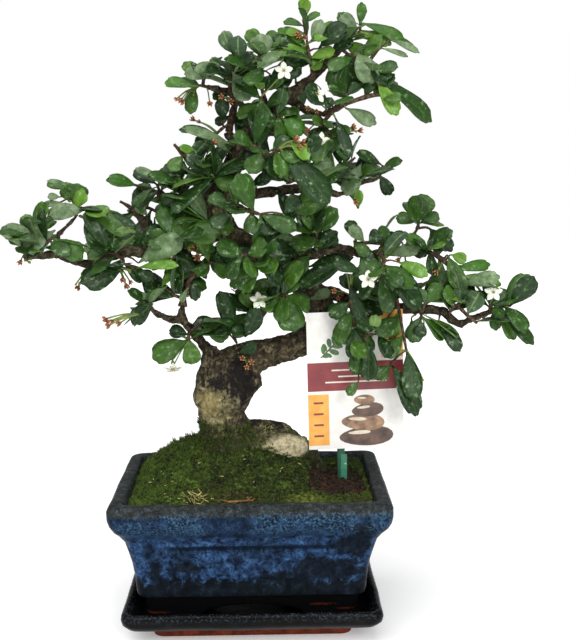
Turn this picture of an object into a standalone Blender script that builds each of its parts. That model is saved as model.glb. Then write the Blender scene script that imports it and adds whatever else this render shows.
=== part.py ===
"""Fukien tea bonsai (Carmona) in a glazed pot on its saucer, modelled in Blender.

All lengths below are in millimetres and MM turns them into metres. The origin is the
middle of the saucer's underside, +X runs to the right of the front, +Y to the back, +Z up.
"""
import math
import random

import bmesh
import bpy
from mathutils import Matrix, Vector, noise
from mathutils.bvhtree import BVHTree

MM = 0.001
GAP = 0.3                  # clearance between pieces that touch on the real thing

# Saucer: half width and height of each ring, from the underside out and over the rim
DEPTH_STEP = 21.0          # every ring is this much shallower than it is wide, each side
SAUCER_OUTSIDE = [(60.5, 0.0), (62.0, 4.5), (68.6, 6.9), (75.6, 10.2), (78.0, 13.2),
                  (78.7, 16.6), (77.9, 19.6)]
SAUCER_INSIDE = [(75.4, 20.2), (73.6, 18.4), (67.4, 10.8)]
SAUCER_FLOOR = 9.6
SAUCER_CORNER = 7.0
FLOOR_CORNER = 3.0         # corners of the saucer's floor and of everything inside the pot

# Pot: the same kind of profile, foot to lip
FOOT_HEIGHT = 17.8
FOOT_HALF = 64.0
FOOT_THICK = 7.0
FOOT_CORNER = 6.0
FOOT_ARCH = 11.5           # height of the arches between the feet
ARCH_ENDS = ((36.0, 0), (18.0, 90))      # half span of an arch, and the turn of its cutter
ARCH_STEPS = 6
ARCH_POWER = 0.6           # below 1 the arch is fuller than a half ellipse
POT_BOTTOM = SAUCER_FLOOR + GAP + FOOT_HEIGHT
POT_OUTSIDE = [(68.4, POT_BOTTOM), (69.2, 31.0), (70.0, 41.0), (71.4, 49.0), (73.4, 57.0),
               (75.4, 64.0), (78.2, 68.0), (81.4, 71.6), (83.3, 75.2), (84.2, 79.0),
               (84.3, 84.6), (83.0, 87.4)]
POT_INSIDE = [(81.4, 88.4), (76.6, 88.4), (75.0, 87.0), (74.0, 80.0), (68.0, 68.0),
              (65.6, 58.0), (62.0, 36.0)]
POT_FLOOR = 33.0
POT_CORNER = 8.0
POT_REACH = 80.0           # more than the pot's half width, for cuts right through it
PANEL_TOP = 62.0
PANEL_BOTTOM = 36.5
PANEL_HALF = 51.5
PANEL_SIDE_HALF = 31.0
PANEL_GROOVE = 3.6
PANEL_DEPTH = 1.0
PANEL_CLEAR = 6.0          # how far its cutter stands out of the wall
DRAIN_X = 32.0
DRAIN_RADIUS = 7.0
SCREEN_HALF = 13.0
SCREEN_THICK = 1.0
SCREEN_HOLES = 2           # rows and columns of openings over each drain hole
SCREEN_BAR = 1.8
RIM_LOSS = 4.0             # the inner corners of pot and saucer are this much tighter

# Soil mound and the moss carpet on it
EDGE_HEIGHT = 85.2
GRID_STEP = 16.0
MOSS_THICK = 3.2
BARE_PATCH = [(34, -26), (50, -34), (66, -31), (73, -14), (72, 16), (60, 30), (44, 26), (38, 8)]

WOOD_PATCH = [(-38, 2), (-32, -15), (-14, -21), (4, -17), (22, -18), (38, -12), (51, 4), (49, 24),
              (28, 20), (6, 17), (-14, 24), (-33, 18)]

# Plant label: a card clipped to a plastic stick
CARD_WIDTH = 59.5
CARD_HEIGHT = 86.5
CARD_THICK = 0.6
CARD_LEAN = math.radians(1.8)
CARD_CORNER = (36.4, -8.0, 107.2)   # lower left corner
STAKE_X = 56.4
STAKE_WIDTH = 8.0
STAKE_THICK = 2.4
STAKE_FOOT = 48.0

# Wood, as centre lines of (x, y, z, radius)
TRUNK = [(-13, 2, 84, 18), (-14, 2, 100, 19.5), (-15, 1, 112, 18.5), (-17, 1, 122, 15.6),
         (-19, 1, 131, 16), (-17, 0, 140, 18.8), (-15, 0, 149, 19.8), (-12, 0, 157, 17.4),
         (-3, 1, 163, 12.6), (10, 2, 167, 9), (25, 3, 171, 8.8), (37, 6, 176, 8.9),
         (45, 12, 186, 8.8), (44, 16, 198, 8.8), (33, 15, 211, 9), (18, 11, 222, 8.6),
         (3, 7, 231, 8.4), (-11, 4, 241, 8), (-18, 3, 251, 7.8), (-20, 3, 262, 8.8),
         (-16, 3, 273, 7.4), (-8, 2, 285, 6.4), (-3, 1, 298, 5.8), (8, 1, 309, 5.2),
         (20, 1, 322, 4.4), (32, 2, 330, 3.8), (43, 2, 338, 3.2), (51, 2, 347, 2.7),
         (58, 2, 354, 2)]
ROOTS = [
    [(-10, 2, 112, 12), (2, 3, 116, 10), (12, 4, 116, 9.4), (20, 6, 113, 8), (30, 10, 106, 6),
     (42, 16, 92, 4)],
    [(-8, -2, 108, 12), (6, -6, 110, 9), (15, -7, 110, 8.4), (23, -6, 110, 8.8), (30, -2, 108, 8.2),
     (37, 5, 102, 6), (46, 10, 88, 4)],
    [(-14, 0, 100, 12), (-34, 4, 96, 7), (-54, 8, 78, 3)],
    [(-14, 0, 98, 12), (-20, -18, 92, 7), (-27, -34, 70, 3)],
    [(-12, 4, 98, 12), (-8, 22, 90, 6), (-2, 40, 66, 3)],
]
BURL = [
    [(-27, -7, 133, 5), (-27.5, -7, 139, 9), (-26, -6, 146, 8.6), (-24, -5, 152, 5)],
    [(-20, -2, 156, 9), (-22.5, -2, 164, 8.4), (-24, -1, 171, 5.6), (-24.2, -1, 173, 4.8)],
    [(-2, -7, 142, 4), (0.5, -5, 149, 7.6), (0, -4, 157, 7), (-2, -3, 163, 4)],
    [(-13, -15, 150, 4), (-13, -14, 159, 5), (-12, -12, 166, 3.4)],
]
HOLLOWS = [
    [(-16, -22, 139, 2.2), (-15, -20.5, 147, 4.4), (-15.5, -19, 156, 4), (-17, -18, 162, 2)],
    [(-6.5, -21, 139, 1.8), (-5, -18.5, 146, 3.4), (-5.6, -17, 154, 3.2), (-7, -17, 160, 1.6)],
]
BRANCHES = {
    "rising": [(26, 12, 215, 4), (20, 6, 208, 3.4), (14, 3, 203, 3.1), (9, 2, 194, 2.8)],
    "left_low": [(-23, -1, 166, 5), (-31, -2, 177, 3.6), (-37, -2, 184, 3.2), (-42, -3, 189, 2.8),
                 (-49, -4, 190, 2.4), (-57, -5, 193, 2.1), (-61, -5, 197, 1.6)],
    "left_low_up": [(-39, -3, 186, 2.6), (-42, -4, 193, 2.4), (-41.2, -5, 199, 2.2)],
    "left_down": [(-6, 5, 238, 4), (-20, -5, 233, 3), (-24.5, -7, 227.5, 2.6)],
    "left_main": [(-14, 3, 246, 6), (-26, 2, 239, 4.8), (-45, 0, 232, 4.1), (-60, -3, 231, 3.9),
                  (-75, -5, 232, 3.7), (-86, -6, 230, 3.4), (-98, -5, 224, 3.2), (-108, -4, 227, 3),
                  (-118, -3, 231, 2.8), (-129, -1, 230, 2.3), (-138, 0, 229, 1.7)],
    "left_main_up": [(-117, -3, 229, 2.6), (-118, -5, 237, 2.2), (-116, -7, 244, 2),
                     (-110, -8, 249, 1.8), (-104, -9, 255, 1.4)],
    "left_knob": [(-62, -2, 231, 3.8), (-59, 2, 241, 3.8), (-61, 4.4, 247, 4.6),
                  (-64, 5.6, 251.4, 3.4)],
    "left_upper": [(-19, 3, 257, 5), (-30, 1, 258, 3.8), (-45, -2, 262, 3.3), (-50, -2.6, 265, 2.7)],
    "left_dark": [(-17, 3, 268, 4.4), (-24, 0, 274, 3.1), (-29, -2.8, 279, 2.6)],
    "crown_left": [(3, 1, 305, 4), (0, -2, 317, 3), (-8, -5, 326, 2.6), (-17, -7, 330, 2.1),
                   (-24, -8, 331, 1.6)],
    "crown_brown": [(-5, 2, 294, 4), (-11, 7, 304, 3)],
    "crown_twig": [(24, 1, 325, 3.6), (38, -3, 316, 2.5), (49, -5, 314, 2.1)],
    "right_mid": [(-16, 3, 268, 5), (6, -1, 267, 3.7), (38, -4, 270, 3.1), (55, -6, 265, 2.6),
                  (61.5, -6, 267.8, 2.3)],
    "right_main": [(38, 15, 206, 6), (50, 12, 206, 4.8), (62, 8, 200, 4.4), (74, 4, 197, 4.1),
                   (88, 2, 195, 3.9), (98, -1, 194.5, 3.9), (104, -3, 195, 4.3),
                   (112, -4, 194, 3.4), (120, -4, 193, 3.1), (127, -3, 187, 2.8),
                   (132, -2, 184, 2.7), (138, -1, 188, 2.5), (146, 0, 190, 2.1)],
    "right_upper": [(18, 11, 222, 6), (40, 4, 230, 3.9), (55, 0, 233, 3.5), (75, -4, 228, 3.1),
                    (100, -6, 231, 2.7), (107, -6, 230.6, 2.4)],
    "right_stub": [(95, -6, 230, 2.5), (101, -7, 238, 2), (105, -7, 245, 1.4)],
    "back_low": [(30, 15, 213, 5.5), (28, 28, 219, 3.4), (25, 38, 223, 2.9)],
    "back_left": [(-19, 4, 259, 5), (-24, 19, 264, 3.2), (-27, 27, 265, 2.8)],
    "back_crown": [(-4, 1, 297, 4.4), (2, 15, 300, 3), (5, 22, 301, 2.6)],
    "front_low": [(14, 10, 224, 5), (13, -8, 226, 3), (8, -20, 226, 2.6)],
    "front_mid": [(-19, 2, 262, 5), (-15, -14, 262, 3), (-9, -24, 260, 2.6)],
    "front_crown": [(-3, 0, 297, 4.4), (2, -13, 296, 2.8), (6.6, -22, 293.4, 2.4)],
    "right_back": [(76, 4, 196.5, 3.6), (86, 18, 202, 2.6)],
    "left_back": [(-60, -2, 231, 3.4), (-70, 15, 236, 2.6)],
    "mid_back": [(38, -4, 270, 2.9), (44, 14, 276, 2.3)],
    "right_front": [(77, -4, 228, 2.9), (80, -14, 230, 2.4), (81.6, -21, 229.6, 2.1)],
}

# Leafy shoots. Twigs start on the wood. A leaf is (x, z) of its root and (x, z) of its tip
# as seen from the front, then its width; "more" leaves are set round the twigs by rule.
SHOOTS = {
    "crown_left": dict(
        twigs=[[(-23, -8, 331), (-28, -10, 332), (-31, -11, 330)],
               [(-26, -9, 331.5), (-25, -13, 337)]],
        leaves=[(-29, 332, -49, 334, 8), (-29, 331, -34, 315, 8), (-25, 335, -37, 346, 9),
                (-25, 336, -16, 348, 9)],
        calyxes=[(-39, -13, 324), (-22, -17, 322)]),
    "crown_inner": dict(
        twigs=[[(-9, -5, 326), (-10, -9, 334), (-7, -11, 343), (-7, -11, 350)]],
        leaves=[(-7, 350, -13, 364, 9), (-9, 334, 7, 339, 11), (-9, 337, -24, 342, 9),
                (-7, 343, 6, 349, 9)]),
    "crown_middle": dict(
        twigs=[[(14, 1, 316), (9, -4, 332), (8, -6, 343), (9, -7, 352), (15, -7, 356)],
               [(9, -5, 335), (10, -18, 343), (14, -26, 347)]],
        leaves=[(9, 352, 21, 362, 11), (14, 356, 35, 360, 8), (8, 343, 25, 352, 10),
                (10, 353, 1, 364, 9)], more=3),
    "crown_shoot": dict(
        twigs=[[(41, 2, 337), (39, -3, 346), (37, -4, 358), (35, -4, 370)],
               [(39, -3, 347), (36, 12, 351), (32, 24, 353)]],
        leaves=[(35, 370, 37, 383, 9), (35, 370, 45, 374, 6), (35, 366, 23, 369, 6),
                (36, 362, 24, 362, 7), (38, 356, 56, 367, 9), (38, 350, 26, 356, 8),
                (39, 347, 54, 352, 9)],
        calyxes=[(33, -9, 361)], more=3),
    "apex_up": dict(
        twigs=[[(57, 2, 353), (62, 1, 358), (69, 0, 363), (69, -1, 369)]],
        leaves=[(69, 368, 96, 358, 8), (66, 361, 56, 374, 8), (69, 369, 70, 380, 6),
                (67, 361, 88, 355, 10), (69, 363, 104, 351, 7), (62, 358, 50, 366, 9),
                (60, 356, 72, 350, 9)]),
    "apex_right": dict(
        twigs=[[(57, 2, 353), (63, -6, 349), (72, -9, 344), (80, -10, 335)]],
        leaves=[(62, 349, 59, 326, 18), (67, 347, 77, 330, 14), (80, 335, 113, 309, 13),
                (77, 340, 88, 336, 8), (76, 341, 92, 342, 9), (65, 348, 50, 340, 10)]),
    "crown_twig_tip": dict(
        twigs=[[(48, -5, 314, 2), (60, -6, 320, 1.7), (76, -7, 325, 1.3), (84, -8, 325, 0.8)],
               [(60, -6, 320), (61, -10, 326)]],
        leaves=[(80, 326, 94, 322, 8), (77, 326, 83, 336, 8), (61, 325, 70, 332, 8),
                (61, 324, 50, 331, 9), (84, 325, 92, 314, 7)]),
    "crown_hanging": dict(
        twigs=[[(43, -4, 315), (48, -10, 307), (52, -12, 300)],
               [(46.5, -8, 309.5), (54, -14, 317)]],
        leaves=[(52, 301, 63, 288, 9), (51, 301, 50, 289, 8), (51, 305, 63, 303, 9),
                (50, 306, 38, 299, 9), (50, 308, 40, 312, 8)],
        calyxes=[(64, -13, 306), (38, -9, 305)]),
    "crown_front": dict(
        twigs=[[(9, 1, 309), (12, -12, 316), (9, -19, 325)],
               [(12, -10, 315), (22, -14, 312)]],
        leaves=[(9, 325, 10, 302, 16), (9, 324, -6, 334, 11), (22, 312, 34, 302, 12),
                (12, 319, 26, 328, 11), (11, 320, -6, 314, 10)]),
    "front_crown": dict(
        twigs=[[(6, -21, 293.7, 2), (14, -36, 290, 1.4), (20, -42, 294, 0.8)],
               [(9, -27, 292.2), (4, -31, 296)]],
        leaves=[(19, 293, 33, 287, 11), (10, 292, 1, 279, 11), (15, 291, 26, 301, 10),
                (15, 290, 18, 276, 11), (5, 296, -8, 302, 10)]),
    "left_dark": dict(
        twigs=[[(-28, -2.4, 278, 2.2), (-31, -4, 281, 2.1), (-38, -8, 290, 1.5),
                (-44, -12, 297, 0.8)],
               [(-31, -4, 281), (-27, -9, 285)]],
        leaves=[(-38, 291, -47, 281, 9), (-28, 285, -41, 295, 8), (-27, 284, -16, 290, 9)],
        calyxes=[(-20, -14, 297)]),
    "crown_brown": dict(
        twigs=[[(-11.2, 7, 302, 2.6), (-8, 8, 316, 2.2), (-5, 7, 326, 1.7), (-8, 4, 331, 1.2),
                (-13, 2, 336, 0.8)],
               [(-9.5, 7.5, 309), (-15, 3, 306), (-18, 0, 303)]],
        leaves=[(-18, 302, -41, 306, 7), (-16, 303, -27, 293, 9), (-8, 331, -20, 324, 9),
                (-12, 335, -4, 345, 9)]),
    "left_upper_tip": dict(
        twigs=[[(-49, -2.5, 264.4, 2.4), (-53, -3, 267, 2.3), (-60, -4, 270, 1.6),
                (-69, -7, 273, 0.8)],
               [(-53, -3, 267), (-55, -8, 273)]],
        leaves=[(-67, 272, -86, 276, 9), (-55, 273, -69, 282, 9), (-63, 271, -67, 255, 8),
                (-55, 272, -48, 282, 9)]),
    "left_upper_middle": dict(
        twigs=[[(-40, -1, 260.5), (-41, -9, 267), (-39, -13, 273)]],
        leaves=[(-39, 273, -51, 282, 9), (-39, 272, -28, 279, 9), (-41, 267, -53, 260, 9),
                (-41, 266, -31, 259, 10)]),
    "left_upper_long": dict(
        twigs=[[(-24, 0, 274), (-22, -8, 276), (-20, -14, 277)]],
        leaves=[(-20, 277, -48, 255, 9), (-21, 276, -8, 272, 11), (-22, 276, -33, 270, 9),
                (-20, 277, -18, 290, 9)]),
    "left_front": dict(
        twigs=[[(-18, 2, 250), (-22, -9, 250), (-27, -18, 251)]],
        leaves=[(-26, 251, -47, 243, 12), (-24, 250, -44, 254, 11), (-27, 251, -30, 236, 11),
                (-24, 250, -9, 244, 11)]),
    "left_main_near": dict(
        twigs=[[(-43, 0, 232.5), (-43, -9, 237), (-46, -14, 239)],
               [(-43, -6.6, 235.8), (-46, -10, 228)]],
        leaves=[(-45, 238, -62, 236, 9), (-46, 228, -62, 222, 9), (-43, 236, -34, 245, 10),
                (-46, 228, -36, 219, 9)],
        calyxes=[(-32, -12, 232)]),
    "left_knob": dict(
        twigs=[[(-63, 5, 250, 2.9), (-68, 7, 255.4, 2.4), (-73, 6, 260, 1.4), (-78, 5, 263, 0.8)],
               [(-68, 7, 255.4), (-62, 3, 259), (-55, 1, 256)]],
        leaves=[(-55, 254, -48, 264, 8), (-56, 253, -44, 250, 9)]),
    "left_tip": dict(
        twigs=[[(-137, 0, 229), (-136, -3, 237), (-131, -5, 245)],
               [(-136.5, -2, 233), (-143, -4, 235)]],
        leaves=[(-131, 245, -153, 245, 9), (-136, 237, -147, 240, 5), (-131, 245, -122, 263, 10),
                (-133, 243, -136, 256, 8)],
        calyxes=[(-140, -11, 227)]),
    "left_tip_under": dict(
        twigs=[[(-128, -1, 230), (-126, -8, 236), (-120, -11, 241)]],
        leaves=[(-122, 240, -136, 231, 11), (-120, 241, -102, 228, 12)]),
    "left_raised": dict(
        twigs=[[(-105, -9, 254), (-106, -11, 262), (-109, -12, 270)],
               [(-105.4, -10, 259), (-97, -13, 259)]],
        leaves=[(-98, 258, -72, 243, 14), (-105, 258, -123, 254, 9), (-107, 262, -103, 274, 13),
                (-109, 270, -122, 275, 7)]),
    "left_main_under": dict(
        twigs=[[(-78, -5, 231), (-77, -12, 225), (-80, -15, 222)],
               [(-77.5, -9, 228), (-83, -12.5, 231), (-89, -13, 233)]],
        leaves=[(-79, 222, -104, 213, 13), (-77, 225, -64, 214, 9), (-89, 232, -98, 244, 9),
                (-89, 232, -78, 241, 10)],
        calyxes=[(-76, -17, 212), (-105, -10, 211)]),
    "left_low_tip": dict(
        twigs=[[(-60, -5, 196), (-63, -7, 201)],
               [(-61.6, -6, 198.8), (-68, -9, 193)]],
        leaves=[(-63, 200, -73, 187, 10), (-63, 201, -75, 208, 7)],
        calyxes=[(-87, -11, 189), (-80, -12, 188)]),
    "left_low_hanging": dict(
        twigs=[[(-37, -2, 184), (-38, -9, 179), (-38, -12, 176)],
               [(-37.6, -6.2, 181), (-29, -10, 188)]],
        leaves=[(-38, 177, -61, 165, 14), (-38, 177, -36, 161, 11), (-31, 187, -13, 178, 13),
                (-38, 178, -50, 183, 9)],
        calyxes=[(-48, -16, 160)]),
    "left_low_up": dict(
        twigs=[[(-41.3, -5, 198, 2), (-40, -3, 208, 1.5), (-41, -5, 214, 1.2), (-40, -7, 218, 0.8)],
               [(-40.2, -5.3, 203), (-47, -7, 205)]],
        leaves=[(-37, 215, -52, 220, 9), (-38, 213, -26, 209, 10), (-46, 203, -58, 208, 10)]),
    "left_down": dict(
        twigs=[[(-24, -6.8, 228, 2.3), (-30, -9, 221, 2.1), (-37, -11, 213, 1.6),
                (-38, -18, 204, 0.8)],
               [(-28, -8.2, 223.4), (-22, -14, 225)]],
        leaves=[(-22, 226, -12, 216, 10), (-22, 226, -32, 217, 9)]),
    "front_low": dict(
        twigs=[[(8.4, -19, 226, 2.2), (6, -24, 226, 2), (0, -38, 229, 1.4), (-4, -45, 229, 0.8)],
               [(5, -27, 226.6), (9, -32, 221)]],
        leaves=[(-2, 230, -20, 236, 12), (-4, 229, -14, 215, 11), (-1, 229, 12, 236, 12),
                (8, 222, -12, 210, 10), (9, 222, 20, 211, 11)]),
    "front_middle": dict(
        twigs=[[(-10, -23, 260.4, 2.2), (-6, -28, 259, 2), (2, -38, 256, 1.4), (8, -44, 254, 0.8)],
               [(-5, -29.3, 258.6), (-10, -34, 255)]],
        leaves=[(4, 256, -6, 279, 15), (7, 254, 30, 244, 11), (2, 256, 4, 242, 11),
                (-10, 255, -22, 246, 11), (-9, 257, -24, 266, 10)]),
    "rising_tip": dict(
        twigs=[[(9.4, 2, 195, 2.4), (5, 1, 187, 1.7), (3, -6, 183, 1.2), (1, -10, 180, 0.8)],
               [(7.5, 1.6, 191.6), (2, -6, 195)]],
        leaves=[(2, 195, -4, 207, 9), (2, 195, -18, 202, 11), (2, 181, -12, 182, 10)]),
    "rising_front": dict(
        twigs=[[(16, 4, 205), (19, -10, 204), (24, -16, 204)]],
        leaves=[(24, 204, 28, 181, 16), (22, 204, 38, 195, 12), (20, 204, 8, 195, 11),
                (23, 204, 32, 216, 11)]),
    "label_cover": dict(
        twigs=[[(62, 8, 201), (63, -6, 204), (63, -16, 199), (65, -19, 186), (69, -20, 174)]],
        leaves=[(64, 194, 55, 172, 11), (65, 186, 75, 165, 12), (69, 175, 66, 153, 10),
                (64, 190, 78, 182, 11), (63, 199, 50, 190, 11), (63, 202, 76, 197, 10)],
        calyxes=[(54, -14, 206)]),
    "label_hanging": dict(
        twigs=[[(92, 1, 195), (92, -10, 200), (94, -18, 190), (98, -18, 168)]],
        leaves=[(98, 169, 103, 136, 12), (96, 178, 84, 164, 10), (93, 189, 80, 178, 11)]),
    "upper_curled": dict(
        twigs=[[(41, 4, 230), (42, -6, 238), (42, -11, 243)]],
        leaves=[(42, 242, 55, 257, 12), (42, 243, 35, 257, 10), (42, 238, 56, 238, 11),
                (42, 239, 27, 235, 11)]),
    "upper_middle": dict(
        twigs=[[(66, -2, 230.5), (66, -9, 236), (67, -12, 240)],
               [(66, -8, 235.2), (74, -12, 236), (83, -12, 235)]],
        leaves=[(66, 238, 62, 250, 8), (83, 233, 97, 241, 8), (82, 233, 85, 246, 8)]),
    "upper_stub": dict(
        twigs=[[(104.5, -7, 244), (105, -9, 248), (106, -10, 252)]],
        leaves=[(105, 247, 106, 265, 14), (105, 246, 91, 251, 9), (105, 246, 118, 250, 9),
                (105, 246, 97, 257, 8)]),
    "right_front": dict(
        twigs=[[(81.4, -20, 229.7, 1.8), (84, -34, 225, 1.3), (83, -38, 221, 1),
                (81, -40, 215, 0.8)]],
        leaves=[(83, 221, 107, 194, 13), (81, 215, 88, 192, 11), (83, 222, 68, 217, 10),
                (81, 216, 68, 202, 11)]),
    "upper_tip": dict(
        twigs=[[(106, -6, 230.7, 2.1), (112, -6, 229.6, 1.9), (120, -5, 225, 1.5),
                (131, -8, 215, 0.8)],
               [(112, -6, 229.6), (113, -11, 233)]],
        leaves=[(131, 215, 157, 209, 9), (127, 219, 150, 222, 8), (125, 220, 111, 202, 11),
                (113, 232, 126, 243, 10), (112, 232, 97, 239, 9)],
        calyxes=[(117, -13, 218)]),
    "right_knob": dict(
        twigs=[[(105, -3, 195), (107, -10, 191), (108, -13, 188)],
               [(106.7, -9, 191.6), (110, -12, 199)]],
        leaves=[(108, 189, 131, 169, 12), (107, 190, 101, 173, 11), (110, 199, 96, 206, 10),
                (110, 199, 120, 210, 10)]),
    "right_tip": dict(
        twigs=[[(145, 0, 189.8, 1.9), (156, 1, 195, 1.3), (159, -2, 196.5, 0.8)],
               [(150, 0.4, 192), (150, -6, 197)]],
        leaves=[(158, 196, 175, 215, 14), (157, 195, 179, 171, 10), (157, 195, 166, 174, 9),
                (156, 195, 154, 180, 7), (150, 196, 160, 206, 8)]),
    "right_bend": dict(
        twigs=[[(124, -4, 190), (127, -9, 195), (132, -11, 198)],
               [(129.5, -10, 196.5), (136, -12, 190), (142, -10, 185)]],
        leaves=[(131, 198, 148, 203, 7), (127, 195, 123, 209, 9), (132, 198, 138, 211, 9)]),
    "middle_tip": dict(
        twigs=[[(60.5, -6, 267.4, 2), (70, -5, 273, 1.7), (80, -4, 276, 1.3), (83, -7, 283, 0.8)],
               [(66, -5.5, 270.5), (65, -11, 276)]],
        leaves=[(83, 283, 67, 291, 8), (82, 280, 95, 286, 7), (81, 278, 88, 265, 8),
                (65, 275, 55, 284, 9), (65, 275, 76, 283, 9)],
        calyxes=[(66, -12, 262)]),
    "middle_front": dict(
        twigs=[[(40, -4, 269.5), (41, -12, 272), (42, -17, 270)],
               [(40.6, -9, 271), (32, -12, 274), (24, -11, 274)]],
        leaves=[(42, 271, 56, 279, 10), (42, 270, 46, 254, 11), (41, 272, 36, 285, 10),
                (24, 273, 12, 281, 10), (24, 273, 30, 287, 10)]),
    "back_low": dict(
        twigs=[[(25.4, 37, 222.6, 2.5), (20, 50, 226, 2.1), (12, 64, 232, 1.5), (8, 70, 235, 0.8)],
               [(22.9, 43, 224.2), (34, 46, 230)],
               [(19.7, 50.6, 226.2), (8, 50, 234)]],
        leaves=[], more=7),
    "back_left": dict(
        twigs=[[(-26.7, 26, 265, 2.2), (-33, 40, 262, 2), (-41, 54, 268, 1.5), (-46, 60, 272, 0.8)],
               [(-29.3, 32, 263.8), (-20, 37, 272)],
               [(-33, 40, 262), (-44, 38, 258)]],
        leaves=[], more=7),
    "back_crown": dict(
        twigs=[[(4.6, 21, 301, 2.2), (14, 34, 303, 1.9), (24, 46, 308, 1.4), (30, 52, 312, 0.8)],
               [(8.3, 26, 301.8), (2, 34, 310)],
               [(14, 34, 303), (26, 32, 300)]],
        leaves=[], more=7),
    "right_back": dict(
        twigs=[[(85, 16.8, 201.6, 2.2), (98, 32, 204, 1.8), (106, 44, 208, 1.4),
                (112, 48, 212, 0.8)],
               [(91, 23.8, 202.7), (96, 15, 209)],
               [(98, 32, 204), (94, 40, 211)]],
        leaves=[], more=7),
    "left_back": dict(
        twigs=[[(-69, 13.6, 235.6, 2.2), (-82, 30, 238, 1.8), (-92, 42, 243, 1.4),
                (-97, 48, 246, 0.8)],
               [(-75, 21.2, 236.7), (-80, 13, 243)],
               [(-82, 30, 238), (-75, 37, 243)]],
        leaves=[], more=7),
    "middle_back": dict(
        twigs=[[(43.4, 12.6, 275.6, 1.9), (52, 30, 278, 1.7), (60, 42, 283, 1.4),
                (66, 46, 288, 0.8)],
               [(46.8, 19.6, 276.6), (36, 22, 283)],
               [(52, 30, 278), (60, 26, 285)]],
        leaves=[], more=7),
}
EYE = (13.0, -671.5, 284.6)    # where the photo was taken from; the crown's plan is read from here
# The crown's depth: around (x, z), within a spread along each, wood and shoots shift in y
SWAY = [(-130, 235, 45, 22, -18), (-65, 268, 25, 14, 16), (-65, 195, 25, 22, -16),
        (155, 195, 32, 30, -16), (130, 225, 30, 14, -6), (105, 252, 26, 13, 12),
        (80, 279, 26, 14, 14), (85, 325, 28, 22, -14), (-28, 333, 16, 16, 10),
        (35, 372, 16, 14, 7)]

# Open blooms: shoot, place of the throat and the way the bloom faces
FLOWERS = {
    "flower_crown": ("crown_front", (23, -27, 340), (0.15, -0.95, 0.25)),
    "flower_apex": ("crown_twig_tip", (43, -22, 326), (0.2, -0.9, 0.3)),
    "flower_right": ("right_front", (74, -47, 213), (-0.1, -0.95, 0.3)),
    "flower_middle": ("rising_tip", (6, -20, 201), (0.2, -0.85, 0.45)),
}
FUSED_FLOWERS = [
    ("crown_hanging", (45, -20, 298), (0.3, -0.8, -0.3)),
    ("right_tip", (152, -13, 204), (-0.2, -0.9, 0.4)),
    ("left_low_hanging", (-48, -17, 159), (0.1, -0.5, -0.8)),
]

TWIG_RADIUS = 1.2
TWIG_SIDES = 3
BLOOM_LENGTH = 4.6         # throat to the back of the funnel
LEAF_THICK = 1.2           # at the midrib; the blade thins to its edge
LEAF_ROOT = 0.32           # half width of a leaf where it leaves the twig
LEAF_OUTLINE = [(0.34, 0.56), (0.70, 1.0), (0.80, 0.80), (0.90, 0.70)]
SMALL_OUTLINE = [(0.40, 0.64), (0.76, 1.0), (0.86, 0.68)]
SMALL_LEAF = 11.5           # leaves narrower than this get the plainer outline
LEAF_MIDDLE = 0.62          # where along its length a leaf is thickest
LEAF_FOLD = 0.22
LEAF_ARCH = 0.05
MORE_LENGTH = (15, 25)      # shortest and longest leaf set by rule
MORE_WIDTH = (0.4, 0.52)    # its width as a share of its length
MORE = " more"              # added to a shoot's name to seed the leaves set by rule
TRUNK_SIDES = 10
ROOT_SIDES = 6
SEAT_STEP = 0.15
ROOT_COVER = 2.4           # length of a leaf's root that its twig may cover
ROOT_SPACING = 1.7         # least distance between the roots of two leaves on a twig
FLAT_ANGLE = math.radians(0.05)
WELD = 0.002
LEAF_TRIES = 14
DEPTH_TRIES = [0, -0.25, 0.25, -0.5, 0.45, -0.75, 0.7, -1.0, 1.0]
# Boxes of x and z, seen from the front, that the photo shows empty of leaves
EMPTY_SKY = [(36, 97, 106, 160), (-160, -64, 150, 184), (-60, -20, 120, 158), (-160, -90, 280, 400),
             (-90, -60, 286, 400), (100, 190, 268, 300), (-160, 160, 384, 400), (179, 200, 0, 400),
             (-200, -153, 0, 400), (115, 190, 300, 400), (-60, -42, 340, 400), (-12, 36, 100, 168),
             (-98, -70, 260, 272), (-56, -40, 288, 309), (-23, -7, 208, 224), (-6, 8, 240, 265),
             (51, 70, 282, 299), (48, 64, 235, 259), (60, 81, 238, 253), (135, 160, 168, 185)]


# Small geometry kit: every piece is first a list of points and a list of faces


def frames_along(points):
    """A pair of directions square to the line at each of its points, without twist."""
    frames = []
    side = None
    for i, point in enumerate(points):
        ahead = points[min(i + 1, len(points) - 1)]
        behind = points[max(i - 1, 0)]
        along = (ahead - behind).normalized()
        if side is None:
            side = along.orthogonal().normalized()
        side = (side - along * side.dot(along)).normalized()
        frames.append((side, along.cross(side).normalized()))
    return frames


def tube(path, sides, rough=0.0, grow=0.0):
    """A closed tube along (x, y, z, radius) points; rough makes its skin uneven."""
    points = [Vector(p[:3]) for p in path]
    verts = []
    for (side, up), point, stop in zip(frames_along(points), points, path):
        for k in range(sides):
            angle = 2 * math.pi * k / sides
            out = side * math.cos(angle) + up * math.sin(angle)
            uneven = 1 + rough * noise.noise((point + out * stop[3]) * 0.11)
            verts.append(point + out * (stop[3] * uneven + grow))
    faces = []
    for ring in range(len(path) - 1):
        for k in range(sides):
            a = ring * sides + k
            b = ring * sides + (k + 1) % sides
            faces += [(a, b, b + sides), (a, b + sides, a + sides)]
    first = list(range(sides))
    last = [len(verts) - sides + k for k in range(sides)]
    faces += [(first[0], first[k + 1], first[k]) for k in range(1, sides - 1)]
    faces += [(last[0], last[k], last[k + 1]) for k in range(1, sides - 1)]
    return verts, faces


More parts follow.
